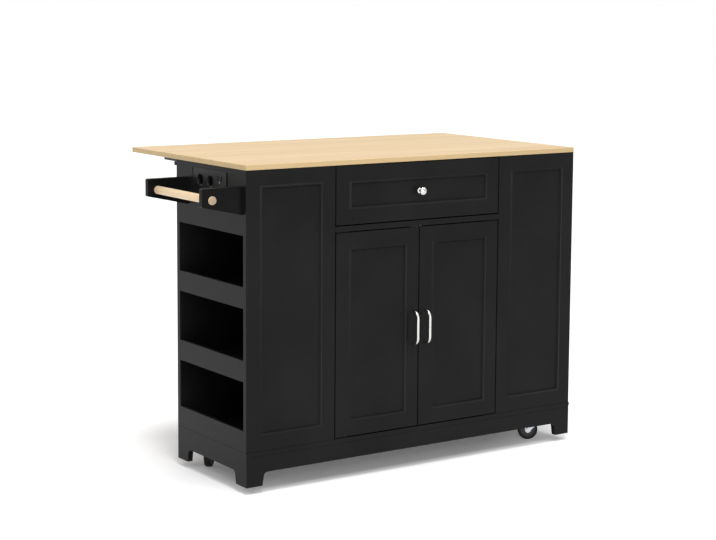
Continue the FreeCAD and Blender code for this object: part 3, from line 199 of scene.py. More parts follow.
def oiledOak():
    v = oakValues
    material, tree, shader = newMaterial("oiledOak", hexColour(v["mid"]), v["roughness"])
    place = placeOn(tree, (v["stretchShare"], 1, 1))
    figure = addNode(tree, "ShaderNodeTexNoise",
                     inputs={"Scale": 1 / (v["figureMm"] * mm), "Detail": v["figureDetail"],
                             "Roughness": v["figureRough"]}, links={"Vector": place})
    figureShare = addNode(tree, "ShaderNodeMapRange",
                          inputs={"From Min": v["figureRange"][0], "From Max": v["figureRange"][1]},
                          links={"Value": figure.outputs["Fac"]})
    band = addNode(tree, "ShaderNodeTexNoise",
                   inputs={"Scale": 1 / (v["bandMm"] * mm), "Detail": v["plainDetail"]}, links={"Vector": place})
    bandShare = addNode(tree, "ShaderNodeMapRange",
                        inputs={"From Min": v["bandRange"][0], "From Max": v["bandRange"][1],
                                "To Max": v["bandShare"]}, links={"Value": band.outputs["Fac"]})
    pores = addNode(tree, "ShaderNodeTexNoise",
                    inputs={"Scale": 1 / (v["poreMm"] * mm), "Detail": v["plainDetail"],
                            "Roughness": v["poreRough"]}, links={"Vector": place})
    poreShare = addNode(tree, "ShaderNodeMapRange",
                        inputs={"From Min": v["poreRange"][0], "From Max": v["poreRange"][1],
                                "To Max": v["poreShare"]}, links={"Value": pores.outputs["Fac"]})
    # Painted shade: faces that stand upright, told by their object-space normal, are mixed towards the darker edge
    # colour
    facing = addNode(tree, "ShaderNodeSeparateXYZ",
                     links={"Vector": addNode(tree, "ShaderNodeTexCoord").outputs["Normal"]})
    level = addNode(tree, "ShaderNodeMath", {"operation": "ABSOLUTE"}, links={0: facing.outputs["Z"]})
    edgeShare = addNode(tree, "ShaderNodeMapRange",
                        inputs={"From Min": v["edgeRange"][0], "From Max": v["edgeRange"][1],
                                "To Min": v["edgeShare"], "To Max": 0.0}, links={"Value": level.outputs[0]})
    board = addNode(tree, "ShaderNodeMix", {"data_type": "RGBA"},
                    {6: hexColour(v["pale"]), 7: hexColour(v["mid"])}, {0: figureShare.outputs["Result"]})
    for colour, share in (("dark", bandShare), ("pore", poreShare), ("edgeBand", edgeShare)):
        board = addNode(tree, "ShaderNodeMix", {"data_type": "RGBA"}, {7: hexColour(v[colour])},
                        {0: share.outputs["Result"], 6: board.outputs[2]})
    endShader(tree, shader, v, board.outputs[2], pores.outputs["Fac"], pores.outputs["Fac"])
    return material


# Sanded beech dowel: warm and even, short dark flecks along its length, year rings on its sawn ends
beechValues = {"pale": "edd5b4", "mid": "e3c59c", "fleck": "c79f74", "ring": "75634d", "sawn": "a18c70",
               "fleckMm": 2.2, "fleckTo": 0.3, "fleckShare": 0.5, "softMm": 16.0, "stretchShare": 0.12,
               "ringMm": 3.0, "ringWander": 1.0, "heartMm": (4.0, -2.0), "sawnRange": (0.8, 0.95),
               "sawnShare": 0.8, "roughness": 0.5, "reliefMm": 0.04, "reliefShare": 0.4}


def turnedBeech():
    v = beechValues
    material, tree, shader = newMaterial("turnedBeech", hexColour(v["mid"]), v["roughness"])
    place = placeOn(tree, (1, v["stretchShare"], 1))
    soft = addNode(tree, "ShaderNodeTexNoise",
                   inputs={"Scale": 1 / (v["softMm"] * mm), "Detail": patternValues["detail"]},
                   links={"Vector": place})
    wood = addNode(tree, "ShaderNodeMix", {"data_type": "RGBA"},
                   {6: hexColour(v["pale"]), 7: hexColour(v["mid"])}, {0: soft.outputs["Fac"]})
    cells = addNode(tree, "ShaderNodeTexVoronoi", inputs={"Scale": 1 / (v["fleckMm"] * mm)},
                    links={"Vector": place})
    fleckShare = addNode(tree, "ShaderNodeMapRange",
                         inputs={"From Max": v["fleckTo"], "To Min": v["fleckShare"], "To Max": 0.0},
                         links={"Value": cells.outputs["Distance"]})
    flecked = addNode(tree, "ShaderNodeMix", {"data_type": "RGBA"}, {7: hexColour(v["fleck"])},
                      {0: fleckShare.outputs["Result"], 6: wood.outputs[2]})
    low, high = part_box("rail_dowel")
    axis = (low + high) / 2
    across, up = v["heartMm"]
    heart = placeOn(tree, (1, 0, 1), (-axis.x - across * mm, 0, -axis.z - up * mm))
    # Each dark or pale ring of a wave is pi / 20 of a unit wide
    rings = addNode(tree, "ShaderNodeTexWave", {"wave_type": "RINGS", "rings_direction": "SPHERICAL"},
                    {"Scale": math.pi / 20 / (v["ringMm"] * mm), "Distortion": v["ringWander"], "Detail": 1.0},
                    {"Vector": heart})
    facing = addNode(tree, "ShaderNodeSeparateXYZ",
                     links={"Vector": addNode(tree, "ShaderNodeTexCoord").outputs["Normal"]})
    sawn = addNode(tree, "ShaderNodeMath", {"operation": "ABSOLUTE"}, links={0: facing.outputs["Y"]})
    sawnShare = addNode(tree, "ShaderNodeMapRange",
                        inputs={"From Min": v["sawnRange"][0], "From Max": v["sawnRange"][1],
                                "To Max": v["sawnShare"]}, links={"Value": sawn.outputs[0]})
    ringed = addNode(tree, "ShaderNodeMix", {"data_type": "RGBA"},
                     {6: hexColour(v["sawn"]), 7: hexColour(v["ring"])}, {0: rings.outputs["Fac"]})
    whole = addNode(tree, "ShaderNodeMix", {"data_type": "RGBA"},
                    links={0: sawnShare.outputs["Result"], 6: flecked.outputs[2], 7: ringed.outputs[2]})
    endShader(tree, shader, v, whole.outputs[2], soft.outputs["Fac"])
    return material


# Birch plywood drawer box under a clear sealer: pale, with a quiet ripple along the sides
plyValues = {"pale": "e2cca8", "dark": "cdae82", "rippleMm": 11.0, "rippleDetail": 4.0, "rippleRough": 0.6,
             "rippleRange": (0.35, 0.65), "stretchShare": 0.06, "roughness": 0.48, "reliefMm": 0.04,
             "reliefShare": 0.3, "edgeMm": 0.6}


def birchPly():
    v = plyValues
    material, tree, shader = newMaterial("birchPly", hexColour(v["pale"]), v["roughness"])
    ripple = addNode(tree, "ShaderNodeTexNoise",
                     inputs={"Scale": 1 / (v["rippleMm"] * mm), "Detail": v["rippleDetail"],
                             "Roughness": v["rippleRough"]},
                     links={"Vector": placeOn(tree, (v["stretchShare"], v["stretchShare"], 1))})
    share = addNode(tree, "ShaderNodeMapRange",
                    inputs={"From Min": v["rippleRange"][0], "From Max": v["rippleRange"][1]},
                    links={"Value": ripple.outputs["Fac"]})
    blend = addNode(tree, "ShaderNodeMix", {"data_type": "RGBA"},
                    {6: hexColour(v["pale"]), 7: hexColour(v["dark"])}, {0: share.outputs["Result"]})
    endShader(tree, shader, v, blend.outputs[2], ripple.outputs["Fac"])
    return material


finishes = {
    "black_paint": lacquer, "oak_top": oiledOak(), "beech": turnedBeech(), "drawer_birch": birchPly(),
    "chrome": chrome, "zinc": zinc, "black_steel": powder, "black_plastic": blackAbs, "grey_plastic": paleAbs,
    "rubber": bumper, "wheel_nylon": tread,
}
# Nodes whose finish differs from the rest of their slot: the rail arms and the door pivots carry painted shade
ownFinishes = {"rail_arm_front": armShadeCoat, "rail_arm_rear": armShadeCoat, "door_pivots": pivotShadeSteel}

for entry in frame["record"]["subparts"]:
    target = nodes[entry["node"]]
    target.data.materials.clear()
    target.data.materials.append(ownFinishes.get(entry["node"], finishes[entry["material_slot"]]))
print("finishes on", len(nodes), "nodes")


# Pieces made here

def finishPiece(name, mesh, body, slot, material=None, sharpDeg=40):
    # A piece on its body, in its slot's finish where no other is given
    obj = bpy.data.objects.new(name, mesh)
    scene.collection.objects.link(obj)
    if not mesh.materials:
        mesh.materials.append(material or finishes[slot])
    mesh.shade_smooth()
    mesh.set_sharp_from_angle(angle=math.radians(sharpDeg))
    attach(obj, body)
    return obj


def arcPoints(centre, radius, start, end, steps=10):
    return [(centre[0] + radius * math.cos(math.radians(start + (end - start) * i / steps)),
             centre[1] + radius * math.sin(math.radians(start + (end - start) * i / steps)))
            for i in range(steps + 1)]


def bothWays(half):
    # A whole profile from its far half, given outermost radius first
    return [(radius, -along) for radius, along in reversed(half)] + half


def savedMesh(name, work):
    mesh = bpy.data.meshes.new(name)
    work.to_mesh(mesh)
    work.free()
    return mesh


def closedMesh(name, work):
    # Faces outwards: one way round first, then turned if they enclose a negative volume
    bmesh.ops.recalc_face_normals(work, faces=work.faces)
    if work.calc_volume(signed=True) < 0:
        bmesh.ops.reverse_faces(work, faces=work.faces)
    return savedMesh(name, work)


def latheMesh(name, profile, centre, axis, steps=64):
    # profile: (radius, along) pairs, from pole to pole or closed about the axis
    work = bmesh.new()
    basis = Vector(axis).normalized().to_track_quat("Z", "Y").to_matrix().to_4x4()
    rings = []
    for radius, along in profile:
        count = steps if radius > 1e-7 else 1
        rings.append([work.verts.new((radius * math.cos(2 * math.pi * i / steps),
                                      radius * math.sin(2 * math.pi * i / steps), along)) for i in range(count)])
    closed = len(rings[0]) > 1
    for one, two in zip(rings, rings[1:] + (rings[:1] if closed else [])):
        for i in range(steps):
            j = (i + 1) % steps
            corners = [one[i % len(one)], one[j % len(one)], two[j % len(two)], two[i % len(two)]]
            work.faces.new(list(dict.fromkeys(corners)))
    work.transform(Matrix.Translation(Vector(centre)) @ basis)
    return closedMesh(name, work)


def boxMesh(name, low, high, bevel=0.0):
    work = bmesh.new()
    bmesh.ops.create_cube(work, size=1.0)
    low, high = Vector(low), Vector(high)
    for vert in work.verts:
        vert.co = Vector(((low[i] + high[i]) / 2 + vert.co[i] * (high[i] - low[i])) for i in range(3))
    if bevel:
        bmesh.ops.bevel(work, geom=list(work.edges), offset=bevel, segments=3, affect="EDGES", profile=0.5)
    return closedMesh(name, work)


def plateMesh(name, outline, start, end):
    # A flat plate standing across x, cut to an outline of (y, z) points
    work = bmesh.new()
    near = [work.verts.new((start, y, z)) for y, z in outline]
    far = [work.verts.new((end, y, z)) for y, z in outline]
    work.faces.new(near)
    work.faces.new(far)
    for i in range(len(outline)):
        j = (i + 1) % len(outline)
        work.faces.new((near[i], near[j], far[j], far[i]))
    return closedMesh(name, work)


def joinMeshes(name, meshes):
    work = bmesh.new()
    for mesh in meshes:
        work.from_mesh(mesh)
        bpy.data.meshes.remove(mesh)
    return savedMesh(name, work)


# Screw heads. The dome's rows are (radius, height) of a head one across and one high.
screwValues = {"headMm": 7.6, "riseMm": 1.9, "recessMm": 3.4, "recessDepthMm": 1.2, "crossShare": 0.24,
               "mouthShare": 0.8, "floorShare": 0.6, "steps": 32, "sharpDeg": 35, "spotMm": 0.5,
               "dome": ((0.5, 0.0), (0.5, 0.35), (0.44, 0.68), (0.32, 0.9), (0.18, 1.0))}


def screwTree():
    # One pan head with a cross recess on every face, turned to the face's own normal
    tree = bpy.data.node_groups.new("screwHeads", "GeometryNodeTree")
    face = tree.interface
    face.new_socket("Geometry", in_out="INPUT", socket_type="NodeSocketGeometry")
    for name in ("Head", "Rise"):
        face.new_socket(name, in_out="INPUT", socket_type="NodeSocketFloat")
    face.new_socket("Unit", in_out="INPUT", socket_type="NodeSocketObject")
    face.new_socket("Finish", in_out="INPUT", socket_type="NodeSocketMaterial")
    face.new_socket("Geometry", in_out="OUTPUT", socket_type="NodeSocketGeometry")
    start = addNode(tree, "NodeGroupInput")
    head = addNode(tree, "GeometryNodeObjectInfo", links={"Object": start.outputs["Unit"]})
    size = addNode(tree, "ShaderNodeCombineXYZ", links={"X": start.outputs["Head"], "Y": start.outputs["Head"],
                                                        "Z": start.outputs["Rise"]})
    turn = addNode(tree, "FunctionNodeAlignRotationToVector", {"axis": "Z"},
                   links={"Vector": addNode(tree, "GeometryNodeInputNormal").outputs["Normal"]})
    keep = addNode(tree, "GeometryNodeCaptureAttribute", {"domain": "FACE"},
                   links={"Geometry": start.outputs["Geometry"]})
    keep.capture_items.new("ROTATION", "Turn")
    tree.links.new(turn.outputs["Rotation"], keep.inputs["Turn"])
    points = addNode(tree, "GeometryNodeMeshToPoints", {"mode": "FACES"}, links={"Mesh": keep.outputs["Geometry"]})
    placed = addNode(tree, "GeometryNodeInstanceOnPoints",
                     links={"Points": points.outputs["Points"], "Instance": head.outputs["Geometry"],
                            "Rotation": keep.outputs["Turn"], "Scale": size.outputs["Vector"]})
    real = addNode(tree, "GeometryNodeRealizeInstances", links={"Geometry": placed.outputs["Instances"]})
    finish = addNode(tree, "GeometryNodeSetMaterial", links={"Geometry": real.outputs["Geometry"],
                                                             "Material": start.outputs["Finish"]})
    addNode(tree, "NodeGroupOutput", links={"Geometry": finish.outputs["Geometry"]})
    return tree


def screwHead():
    # Unit head with a cross sunk in its dome
    v = screwValues
    steps = v["steps"]
    work = bmesh.new()
    rings = [[work.verts.new((r * math.cos(2 * math.pi * i / steps), r * math.sin(2 * math.pi * i / steps), z))
              for i in range(steps)] for r, z in v["dome"]]
    for one, two in zip(rings, rings[1:]):
        for i in range(steps):
            j = (i + 1) % steps
            work.faces.new((one[i], one[j], two[j], two[i]))
    work.faces.new(list(reversed(rings[0])))
    arm = v["recessMm"] / v["headMm"] / 2
    half = arm * v["crossShare"]
    cross = [(arm, half), (half, half), (half, arm), (-half, arm), (-half, half), (-arm, half),
             (-arm, -half), (-half, -half), (-half, -arm), (half, -arm), (half, -half), (arm, -half)]
    mouth = [work.verts.new((x * v["mouthShare"], y * v["mouthShare"], 1.0)) for x, y in cross]
    brink = [work.edges.new((a, b)) for a, b in zip(mouth, mouth[1:] + mouth[:1])]
    top = [edge for edge in work.edges if all(vert in rings[-1] for vert in edge.verts)]
    bmesh.ops.triangle_fill(work, edges=brink + top, use_beauty=True)
    depth = 1.0 - v["recessDepthMm"] / v["riseMm"]
    floor = [work.verts.new((x * v["floorShare"], y * v["floorShare"], depth)) for x, y in cross]
    for i in range(len(mouth)):
        j = (i + 1) % len(mouth)
        work.faces.new((mouth[i], mouth[j], floor[j], floor[i]))
    work.faces.new(floor)
    return bpy.data.objects.new("screwHeadUnit", closedMesh("screwHeadUnit", work))


headUnit = screwHead()
scene.collection.objects.link(headUnit)
headTree = screwTree()


def screws(name, body, slot, spots, direction, headMm=screwValues["headMm"], riseMm=screwValues["riseMm"]):
    # spots: places of the heads' undersides; direction: the way the heads and the faces under them point
    work = bmesh.new()
    out = Vector(direction).normalized()
    side = out.orthogonal().normalized() * screwValues["spotMm"] * mm
    other = out.cross(side)
    for spot in spots:
        work.faces.new([work.verts.new(Vector(spot) + a * side + b * other)
                        for a, b in ((-1, -1), (1, -1), (1, 1), (-1, 1))])
    carrier = bpy.data.objects.new(name + "Spots", savedMesh(name + "Spots", work))
    scene.collection.objects.link(carrier)
    modifier = carrier.modifiers.new("heads", "NODES")
    modifier.node_group = headTree
    sockets = {s.name: s.identifier for s in headTree.interface.items_tree if s.in_out == "INPUT"}
    for socket, value in (("Unit", headUnit), ("Finish", finishes[slot]), ("Head", headMm * mm),
                          ("Rise", riseMm * mm)):
        modifier[sockets[socket]] = value
    graph = bpy.context.evaluated_depsgraph_get()
    made = bpy.data.meshes.new_from_object(carrier.evaluated_get(graph))
    carrier.modifiers.clear()
    bpy.data.objects.remove(carrier)
    return finishPiece(name, made, body, slot, sharpDeg=screwValues["sharpDeg"])


# Caster plates: four screws each
casterPlate = {"sideMm": 60.0, "thickMm": 2.5, "holeInsetMm": 9.0}
corners = ("front_left", "front_right", "rear_left", "rear_right")
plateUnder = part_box("caster_blocks")[0].z - casterPlate["thickMm"] * mm
holeReach = (casterPlate["sideMm"] / 2 - casterPlate["holeInsetMm"]) * mm
casterSpots = []
for corner in corners:
    post = Vector(joints["swivel_" + corner]["pos_m"])
    casterSpots += [(post.x + a * holeReach, post.y + b * holeReach, plateUnder) for a in (-1, 1) for b in (-1, 1)]
screws("caster_screws", "cabinet", "zinc", casterSpots, (0, 0, -1))

# Wall plates of the leaf brackets
wallPlate = {"sheetMm": 2.0, "asideMm": 13.0, "fromBottomMm": 10.0, "fromTopMm": 14.0}
bracketX = [joints[f"brace_{side}_fold"]["pos_m"][0] for side in ("left", "right")]
wallLow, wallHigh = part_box("bracket_plates")
wallFace = wallLow.y + wallPlate["sheetMm"] * mm
wallLevels = (wallLow.z + wallPlate["fromBottomMm"] * mm, wallHigh.z - wallPlate["fromTopMm"] * mm)
wallSpots = [(x + a * wallPlate["asideMm"] * mm, wallFace, z) for x in bracketX for a in (-1, 1) for z in wallLevels]
screws("bracket_screws", "cabinet", "black_steel", wallSpots, (0, 1, 0))

# Channel arms of the leaf brackets: flat heads, which the folded braces clear
armScrews = {"sheetMm": 1.6, "fromHingeMm": (30.0, 75.0), "fromEndMm": 18.0, "headMm": 6.4, "riseMm": 1.1}
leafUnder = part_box("drop_leaf")[0].z
armLow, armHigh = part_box("bracket_arms")
armPlaces = [armLow.y + place * mm for place in armScrews["fromHingeMm"]] + [armHigh.y - armScrews["fromEndMm"] * mm]
armSpots = [(x, y, leafUnder - armScrews["sheetMm"] * mm) for x in bracketX for y in armPlaces]
screws("arm_screws", "leaf", "zinc", armSpots, (0, 0, -1), armScrews["headMm"], armScrews["riseMm"])

# Bolts behind the handles and the knob
boltValues = {"spacingMm": 96.0}
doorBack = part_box("door_left")[1].y
for side in ("left", "right"):
    low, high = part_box("door_handle_" + side)
    middle = (low + high) / 2
    spots = [(middle.x, doorBack, middle.z + a * boltValues["spacingMm"] / 2 * mm) for a in (-1, 1)]
    screws(f"handle_bolts_{side}", "door_" + side, "zinc", spots, (0, 1, 0))
low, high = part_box("drawer_knob")
middle = (low + high) / 2
screws("knob_bolt", "drawer", "zinc", [(middle.x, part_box("drawer_front")[1].y, middle.z)], (0, 1, 0))
bpy.data.objects.remove(headUnit)
print("screws placed")


# Wheels: a rubber tyre, with a moulding line round its middle, seated on a hub with a thin web
wheelValues = {"radiusMm": 31.0, "widthMm": 20.0, "roundingMm": 4.0, "roundSteps": 8, "lineMm": 0.7,
               "lineDepthMm": 0.35, "shoulderMm": 1.4, "seatMm": 0.6, "seatInMm": 1.2, "rimMm": 22.0,
               "rimEdgeMm": 0.4, "rimFaceMm": 0.6, "rimWallMm": 1.6, "rimFootMm": 2.6, "webInMm": 3.4,
               "filletMm": 0.8, "hubRadiusMm": 9.0, "hubWidthMm": 22.0, "hubBevelMm": 1.2, "boreMm": 8.1}


def wheelParts(corner):
    # v holds the lengths in metres; the count of steps comes from the dictionary itself
    v = {key: value * mm for key, value in wheelValues.items()}
    joint = joints["roll_" + corner]
    centre, axis = Vector(joint["pos_m"]), Vector(joint["axis"])
    half, rim, rounding = v["widthMm"] / 2, v["rimMm"], v["roundingMm"]
    shoulder = [(v["radiusMm"], v["lineMm"])]
    shoulder += arcPoints((v["radiusMm"] - rounding, half - rounding), rounding, 0, 90, wheelValues["roundSteps"])
    shoulder += [(rim + v["shoulderMm"], half), (rim + v["seatMm"], half - v["seatInMm"])]
    line = (v["radiusMm"] - v["lineDepthMm"], 0)
    tyre = [(radius, -along) for radius, along in reversed(shoulder)] + [line] + shoulder
    piece = finishPiece("tyre_" + corner, latheMesh("tyre_" + corner, tyre, centre, axis, 96),
                        "wheel_" + corner, "wheel_nylon")
    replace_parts(piece, "wheel_" + corner)
    hub, hubHalf, bevel = v["hubRadiusMm"], v["hubWidthMm"] / 2, v["hubBevelMm"]
    web = half - v["webInMm"]
    core = bothWays([(rim + v["seatMm"], half - v["rimEdgeMm"]), (rim - v["rimWallMm"], half - v["rimFaceMm"]),
                     (rim - v["rimFootMm"], web), (hub + v["filletMm"], web), (hub, web + v["filletMm"]),
                     (hub, hubHalf - bevel), (hub - bevel, hubHalf), (v["boreMm"] / 2, hubHalf)])
    finishPiece("hub_" + corner, latheMesh("hub_" + corner, core, centre, axis, 72),
                "wheel_" + corner, "wheel_nylon", hubPlastic)


for corner in corners:
    wheelParts(corner)
print("wheels made")


# Hanging rail: the dowel in a dark bush at each arm
dowelValues = {"radiusMm": 11.6, "chamferMm": 1.0, "softShare": 0.3, "bushOuterMm": 12.95, "bushLipMm": 0.5,
               "bushGapMm": 0.05}


def hangingRail():
    v = dowelValues
    low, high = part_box("rail_dowel")
    middle = (low + high) / 2
    half, radius, cut = (high.y - low.y) / 2, v["radiusMm"] * mm, v["chamferMm"] * mm
    soft = cut * v["softShare"]
    profile = bothWays([(radius, half - cut), (radius - soft, half - soft), (radius - cut, half),
                        (radius * 0.5, half), (0, half)])
    dowel = finishPiece("towel_dowel", latheMesh("towel_dowel", profile, middle, (0, 1, 0), 72), "cabinet", "beech")
    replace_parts(dowel, "rail_dowel")
    outer, lip, inner = v["bushOuterMm"] * mm, v["bushLipMm"] * mm, radius + v["bushGapMm"] * mm
    bushes = []
    for arm in ("rail_arm_front", "rail_arm_rear"):
        armStart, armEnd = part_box(arm)
        deep = (armEnd.y - armStart.y) / 2 + lip
        ring = bothWays([(outer, deep - lip), (outer - lip, deep), (inner, deep)])
        centre = (middle.x, (armStart.y + armEnd.y) / 2, middle.z)
        bushes.append(latheMesh("bush", ring, centre, (0, 1, 0), 72))
    finishPiece("dowel_bushes", joinMeshes("dowel_bushes", bushes), "cabinet", "black_plastic")


hangingRail()
print("hanging rail made")


# Leaf brackets: deeper pressed arms and the grips of their release levers
armValues = {"widthMm": 19.2, "sheetMm": 1.6, "eyeMm": 7.5, "eyeShare": 1.2, "belowMm": 11.5, "lengthMm": 172.0,
             "tipMm": 4.5, "tipSteps": 6, "leadMm": 2.0, "gripPlaceMm": 133.2, "gripBelowMm": 20.4,
             "gripRadiusMm": 6.0, "gripFromMm": 5.2, "gripToMm": 12.4, "gripRoundMm": 2.6}


def leafBrackets():
    # v holds the lengths in metres; counts and shares come from the dictionary itself
    v = {key: value * mm for key, value in armValues.items()}
    steps = armValues["tipSteps"]
    y, z = joints["leaf_fold"]["pos_m"][1:]
    top = leafUnder - z
    eye, low, end, tip, lead = v["eyeMm"], -v["belowMm"], v["lengthMm"], v["tipMm"], v["leadMm"]
    side = arcPoints((0, 0), eye, 90, 270) + [(eye * armValues["eyeShare"], low), (end - tip, low)]
    side += arcPoints((end - tip, low + tip), tip, -90, 0, steps)[1:] + [(end, top), (lead, top), (lead, eye)]
    side = [(y + across, z + up) for across, up in side]
    start, stop, radius, soft = v["gripFromMm"], v["gripToMm"], v["gripRadiusMm"], v["gripRoundMm"]
    reach = (stop - start) / 2
    profile = bothWays(arcPoints((radius - soft, reach - soft), soft, 0, 90, steps) + [(0, reach)])
    arms, grips = [], []
    for x in bracketX:
        half, sheet = v["widthMm"] / 2, v["sheetMm"]
        arms.append(plateMesh("flange", side, x - half, x - half + sheet))
        arms.append(plateMesh("flange", side, x + half - sheet, x + half))
        arms.append(boxMesh("web", (x - half + sheet, y + lead, z + top - sheet), (x + half - sheet, y + end, z + top)))
        centre = (x + (start + stop) / 2, y + v["gripPlaceMm"], z - v["gripBelowMm"])
        grips.append(latheMesh("grip", profile, centre, (1, 0, 0), 40))
    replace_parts(finishPiece("leaf_arms", joinMeshes("leaf_arms", arms), "leaf", "black_steel"), "bracket_arms")
    finishPiece("lever_grips", joinMeshes("lever_grips", grips), "leaf", "black_plastic")


leafBrackets()
print("leaf brackets made")


# Power module: lining rings, earth clips and charging tongues. A ring's lip and the lamp's lens are given as
# (radius, height) in mm, the lip's from the socket's own radius.
moduleValues = {"gapMm": 0.3, "startMm": 9.0, "socketRadiusMm": 17.5, "socketDepthMm": 16.0,
                "socketPlacesMm": (100.3, 157.3), "socketRiseMm": 29.7, "ringGapMm": 0.1, "ringFloorMm": 0.4,
                "ringLipMm": ((-1.3, -1.0), (-0.6, 0.3), (0.8, 0.6), (1.9, 0.3), (2.2, -0.05)),
                "clipWidthMm": 5.0, "clipRangeMm": (2.0, 15.0), "clipInsetsMm": (2.6, 1.4), "clipBevelMm": 0.3,
                "portSpreadMm": 10.0, "portRiseMm": 5.0, "tongueHeightMm": 10.4, "tongueRangeMm": (1.2, 11.0),
                "tongueAsideMm": (0.2, 1.7), "tongueBevelMm": 0.2, "indicatorDropMm": 7.0,
                "indicatorShiftMm": 2.0, "lensMm": ((0.0, 0.5), (1.2, 0.35), (1.6, 0.0), (0.0, 0.0))}


def powerModule():
    v = moduleValues
    low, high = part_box("power_module")
    x, z, radius = low.x, low.z + v["socketRiseMm"] * mm, v["socketRadiusMm"]
    lip, floor = list(v["ringLipMm"]), v["ringFloorMm"] - v["socketDepthMm"]
    outline = [(-v["ringGapMm"], floor), (lip[0][0], floor)] + lip + [(-v["ringGapMm"], lip[-1][1])]
    profile = [((radius + out) * mm, up * mm) for out, up in outline]
    rings, clips, tongues = [], [], []
    width = v["clipWidthMm"] / 2 * mm
    start, end = (x + place * mm for place in v["clipRangeMm"])
    for place in v["socketPlacesMm"]:
        y = low.y + (place - v["startMm"] - v["gapMm"]) * mm
        rings.append(latheMesh("ring", profile, (x, y, z), (-1, 0, 0), 64))
        for sign in (-1, 1):
            inner, outer = sorted(z + sign * (radius - inset) * mm for inset in v["clipInsetsMm"])
            clips.append(boxMesh("clip", (start, y - width, inner), (end, y + width, outer), v["clipBevelMm"] * mm))
    finishPiece("socket_rings", joinMeshes("socket_rings", rings), "cabinet", "black_plastic")
    finishPiece("earth_clips", joinMeshes("earth_clips", clips), "cabinet", "zinc", brass)
    low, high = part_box("usb_insert")
    middle = (low + high) / 2
    start, end = (low.x + place * mm for place in v["tongueRangeMm"])
    level, half = middle.z + v["portRiseMm"] * mm, v["tongueHeightMm"] / 2 * mm
    for sign in (-1, 1):
        near, far = (middle.y + (sign * v["portSpreadMm"] + aside) * mm for aside in v["tongueAsideMm"])
        tongues.append(boxMesh("tongue", (start, near, level - half), (end, far, level + half),
                               v["tongueBevelMm"] * mm))
    finishPiece("port_tongues", joinMeshes("port_tongues", tongues), "cabinet", "black_plastic")
    lens = [(out * mm, up * mm) for out, up in v["lensMm"]]
    spot = (low.x, middle.y + v["indicatorShiftMm"] * mm, middle.z - v["indicatorDropMm"] * mm)
    finishPiece("indicator_lens", latheMesh("indicator_lens", lens, spot, (-1, 0, 0), 32), "cabinet", "grey_plastic")


powerModule()
print("power module finished")


# Floor, light and camera
stageValues = {"floor": "fdfdfd", "floorRoughness": 0.9, "floorSizeM": 40.0, "nearGlow": 0.1, "farGlow": 0.34,
               "nearM": 0.3, "farM": 0.62, "lengthShare": 0.55, "worldStrength": 0.42, "aimHeightM": 0.5,
               "sunStrength": 1.22, "sunAngleDeg": 18.0, "sunLeftDeg": 15.0, "sunUpDeg": 79.0, "sunAwayM": 5.0}
# name: degrees left of the front, degrees up, distance in metres, width in metres, power in watts
softboxes = {"frontLamp": (18.0, 10.0, 5.0, 2.2, 60.0), "highLamp": (-34.0, 48.0, 6.0, 0.9, 28.0),
             "fillLamp": (24.0, 48.0, 6.0, 1.2, 46.0), "sideLamp": (78.0, 30.0, 3.4, 1.6, 16.0)}


def fromFront(left, up):
    # The way to a lamp, as seen from the middle of the island
    left, up = math.radians(left), math.radians(up)
    return Vector((-math.sin(left) * math.cos(up), -math.cos(left) * math.cos(up), math.sin(up)))


def addLamp(name, kind, toward, distance, power, aim):
    lamp = bpy.data.lights.new(name, kind)
    lamp.energy = power
    holder = bpy.data.objects.new(name, lamp)
    holder.location = aim + toward * distance
    holder.rotation_euler = (-toward).to_track_quat("-Z", "Y").to_euler()
    holder.visible_camera = False
    scene.collection.objects.link(holder)
    return lamp


def whiteRays(tree):
    # 1 where the eye looks straight at the background, or sees it in gloss or through glass
    path = addNode(tree, "ShaderNodeLightPath")
    gloss = addNode(tree, "ShaderNodeMath", {"operation": "MAXIMUM"},
                    links={0: path.outputs["Is Camera Ray"], 1: path.outputs["Is Glossy Ray"]})
    return addNode(tree, "ShaderNodeMath", {"operation": "MAXIMUM"},
                   links={0: gloss.outputs[0], 1: path.outputs["Is Transmission Ray"]}).outputs[0]


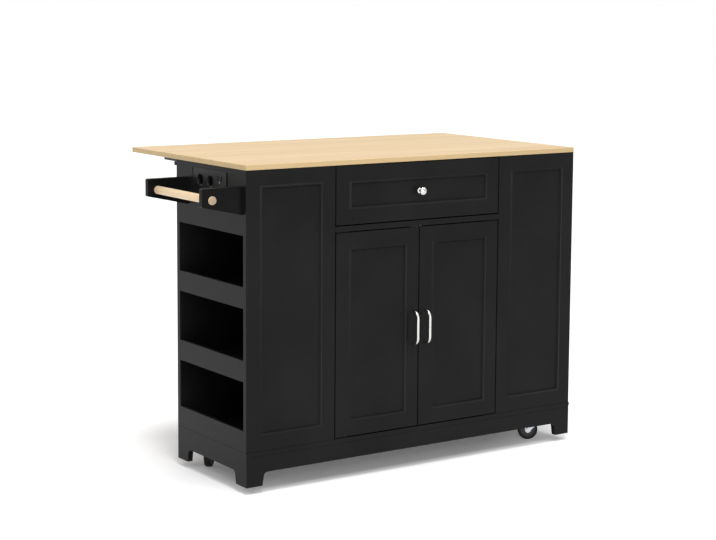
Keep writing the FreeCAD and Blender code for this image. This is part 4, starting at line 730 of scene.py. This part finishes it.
def studio():
    v = stageValues
    mesh = bpy.data.meshes.new("studio_floor")
    half = v["floorSizeM"] / 2
    mesh.from_pydata([(-half, -half, 0), (half, -half, 0), (half, half, 0), (-half, half, 0)], [], [(0, 1, 2, 3)])
    floor = bpy.data.objects.new("studio_floor", mesh)
    scene.collection.objects.link(floor)
    material, tree, shader = newMaterial("studioFloor", hexColour(v["floor"]), v["floorRoughness"],
                                         Specular_IOR_Level=0.0)
    # Painted light: the floor glows faintly next to the island and more away from it, for the eye and for gloss and
    # glass alone, so that the island's shadow fades out into the white behind it
    away = addNode(tree, "ShaderNodeVectorMath", {"operation": "LENGTH"},
                   links={0: placeOn(tree, (v["lengthShare"], 1, 1))})
    glow = addNode(tree, "ShaderNodeMapRange", inputs={"From Min": v["nearM"], "From Max": v["farM"],
                                                       "To Min": v["nearGlow"], "To Max": v["farGlow"]},
                   links={"Value": away.outputs["Value"]})
    share = addNode(tree, "ShaderNodeMath", {"operation": "MULTIPLY"},
                    links={0: glow.outputs["Result"], 1: whiteRays(tree)})
    shader.inputs["Emission Color"].default_value = hexColour("ffffff")
    tree.links.new(share.outputs[0], shader.inputs["Emission Strength"])
    mesh.materials.append(material)

    world = bpy.data.worlds.new("studioWorld")
    world.use_nodes = True
    scene.world = world
    tree = world.node_tree
    tree.nodes.clear()
    lit = addNode(tree, "ShaderNodeBackground", inputs={"Color": (1, 1, 1, 1), "Strength": v["worldStrength"]})
    plain = addNode(tree, "ShaderNodeBackground", inputs={"Color": (1, 1, 1, 1), "Strength": 1.0})
    mix = addNode(tree, "ShaderNodeMixShader", links={0: whiteRays(tree), 1: lit.outputs[0], 2: plain.outputs[0]})
    addNode(tree, "ShaderNodeOutputWorld", links={"Surface": mix.outputs[0]})

    aim = Vector((0.0, 0.0, v["aimHeightM"]))
    sun = addLamp("keySun", "SUN", fromFront(v["sunLeftDeg"], v["sunUpDeg"]), v["sunAwayM"], v["sunStrength"], aim)
    sun.angle = math.radians(v["sunAngleDeg"])
    for name, (left, up, distance, width, power) in softboxes.items():
        box = addLamp(name, "AREA", fromFront(left, up), distance, power, aim)
        box.shape, box.size = "SQUARE", width


# The photograph's camera, worked out from the body's straight edges. Its place is in mm from the tabletop's
# front left corner, and up from the floor. Angles are in radians.
cameraValues = {"focalPx": 1760.19, "widthPx": 716.0, "yaw": 0.5956, "pitch": 0.1216, "roll": 0.0065,
                "placeMm": (-2411.0, -4099.6, 1371.96), "shiftPx": 57.0}


def photoCamera():
    v = cameraValues
    yaw, pitch, roll = v["yaw"], v["pitch"], v["roll"]
    forward = Vector((math.sin(yaw) * math.cos(pitch), math.cos(yaw) * math.cos(pitch), -math.sin(pitch)))
    right = Vector((math.cos(yaw), -math.sin(yaw), 0))
    up = right.cross(forward)
    across = math.cos(roll) * right + math.sin(roll) * up
    upward = math.cos(roll) * up - math.sin(roll) * right
    data = bpy.data.cameras.new("photoCamera")
    data.lens = v["focalPx"] / v["widthPx"] * data.sensor_width
    data.shift_y = -v["shiftPx"] / v["widthPx"]
    camera = bpy.data.objects.new("photoCamera", data)
    turn = Matrix((across, upward, -forward)).transposed().to_4x4()
    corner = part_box("tabletop")[0]
    x, y, z = (value * mm for value in v["placeMm"])
    camera.matrix_world = Matrix.Translation((corner.x + x, corner.y + y, z)) @ turn
    scene.collection.objects.link(camera)
    scene.camera = camera


studio()
photoCamera()
scene.view_settings.view_transform = "Standard"
print("studio and camera set")
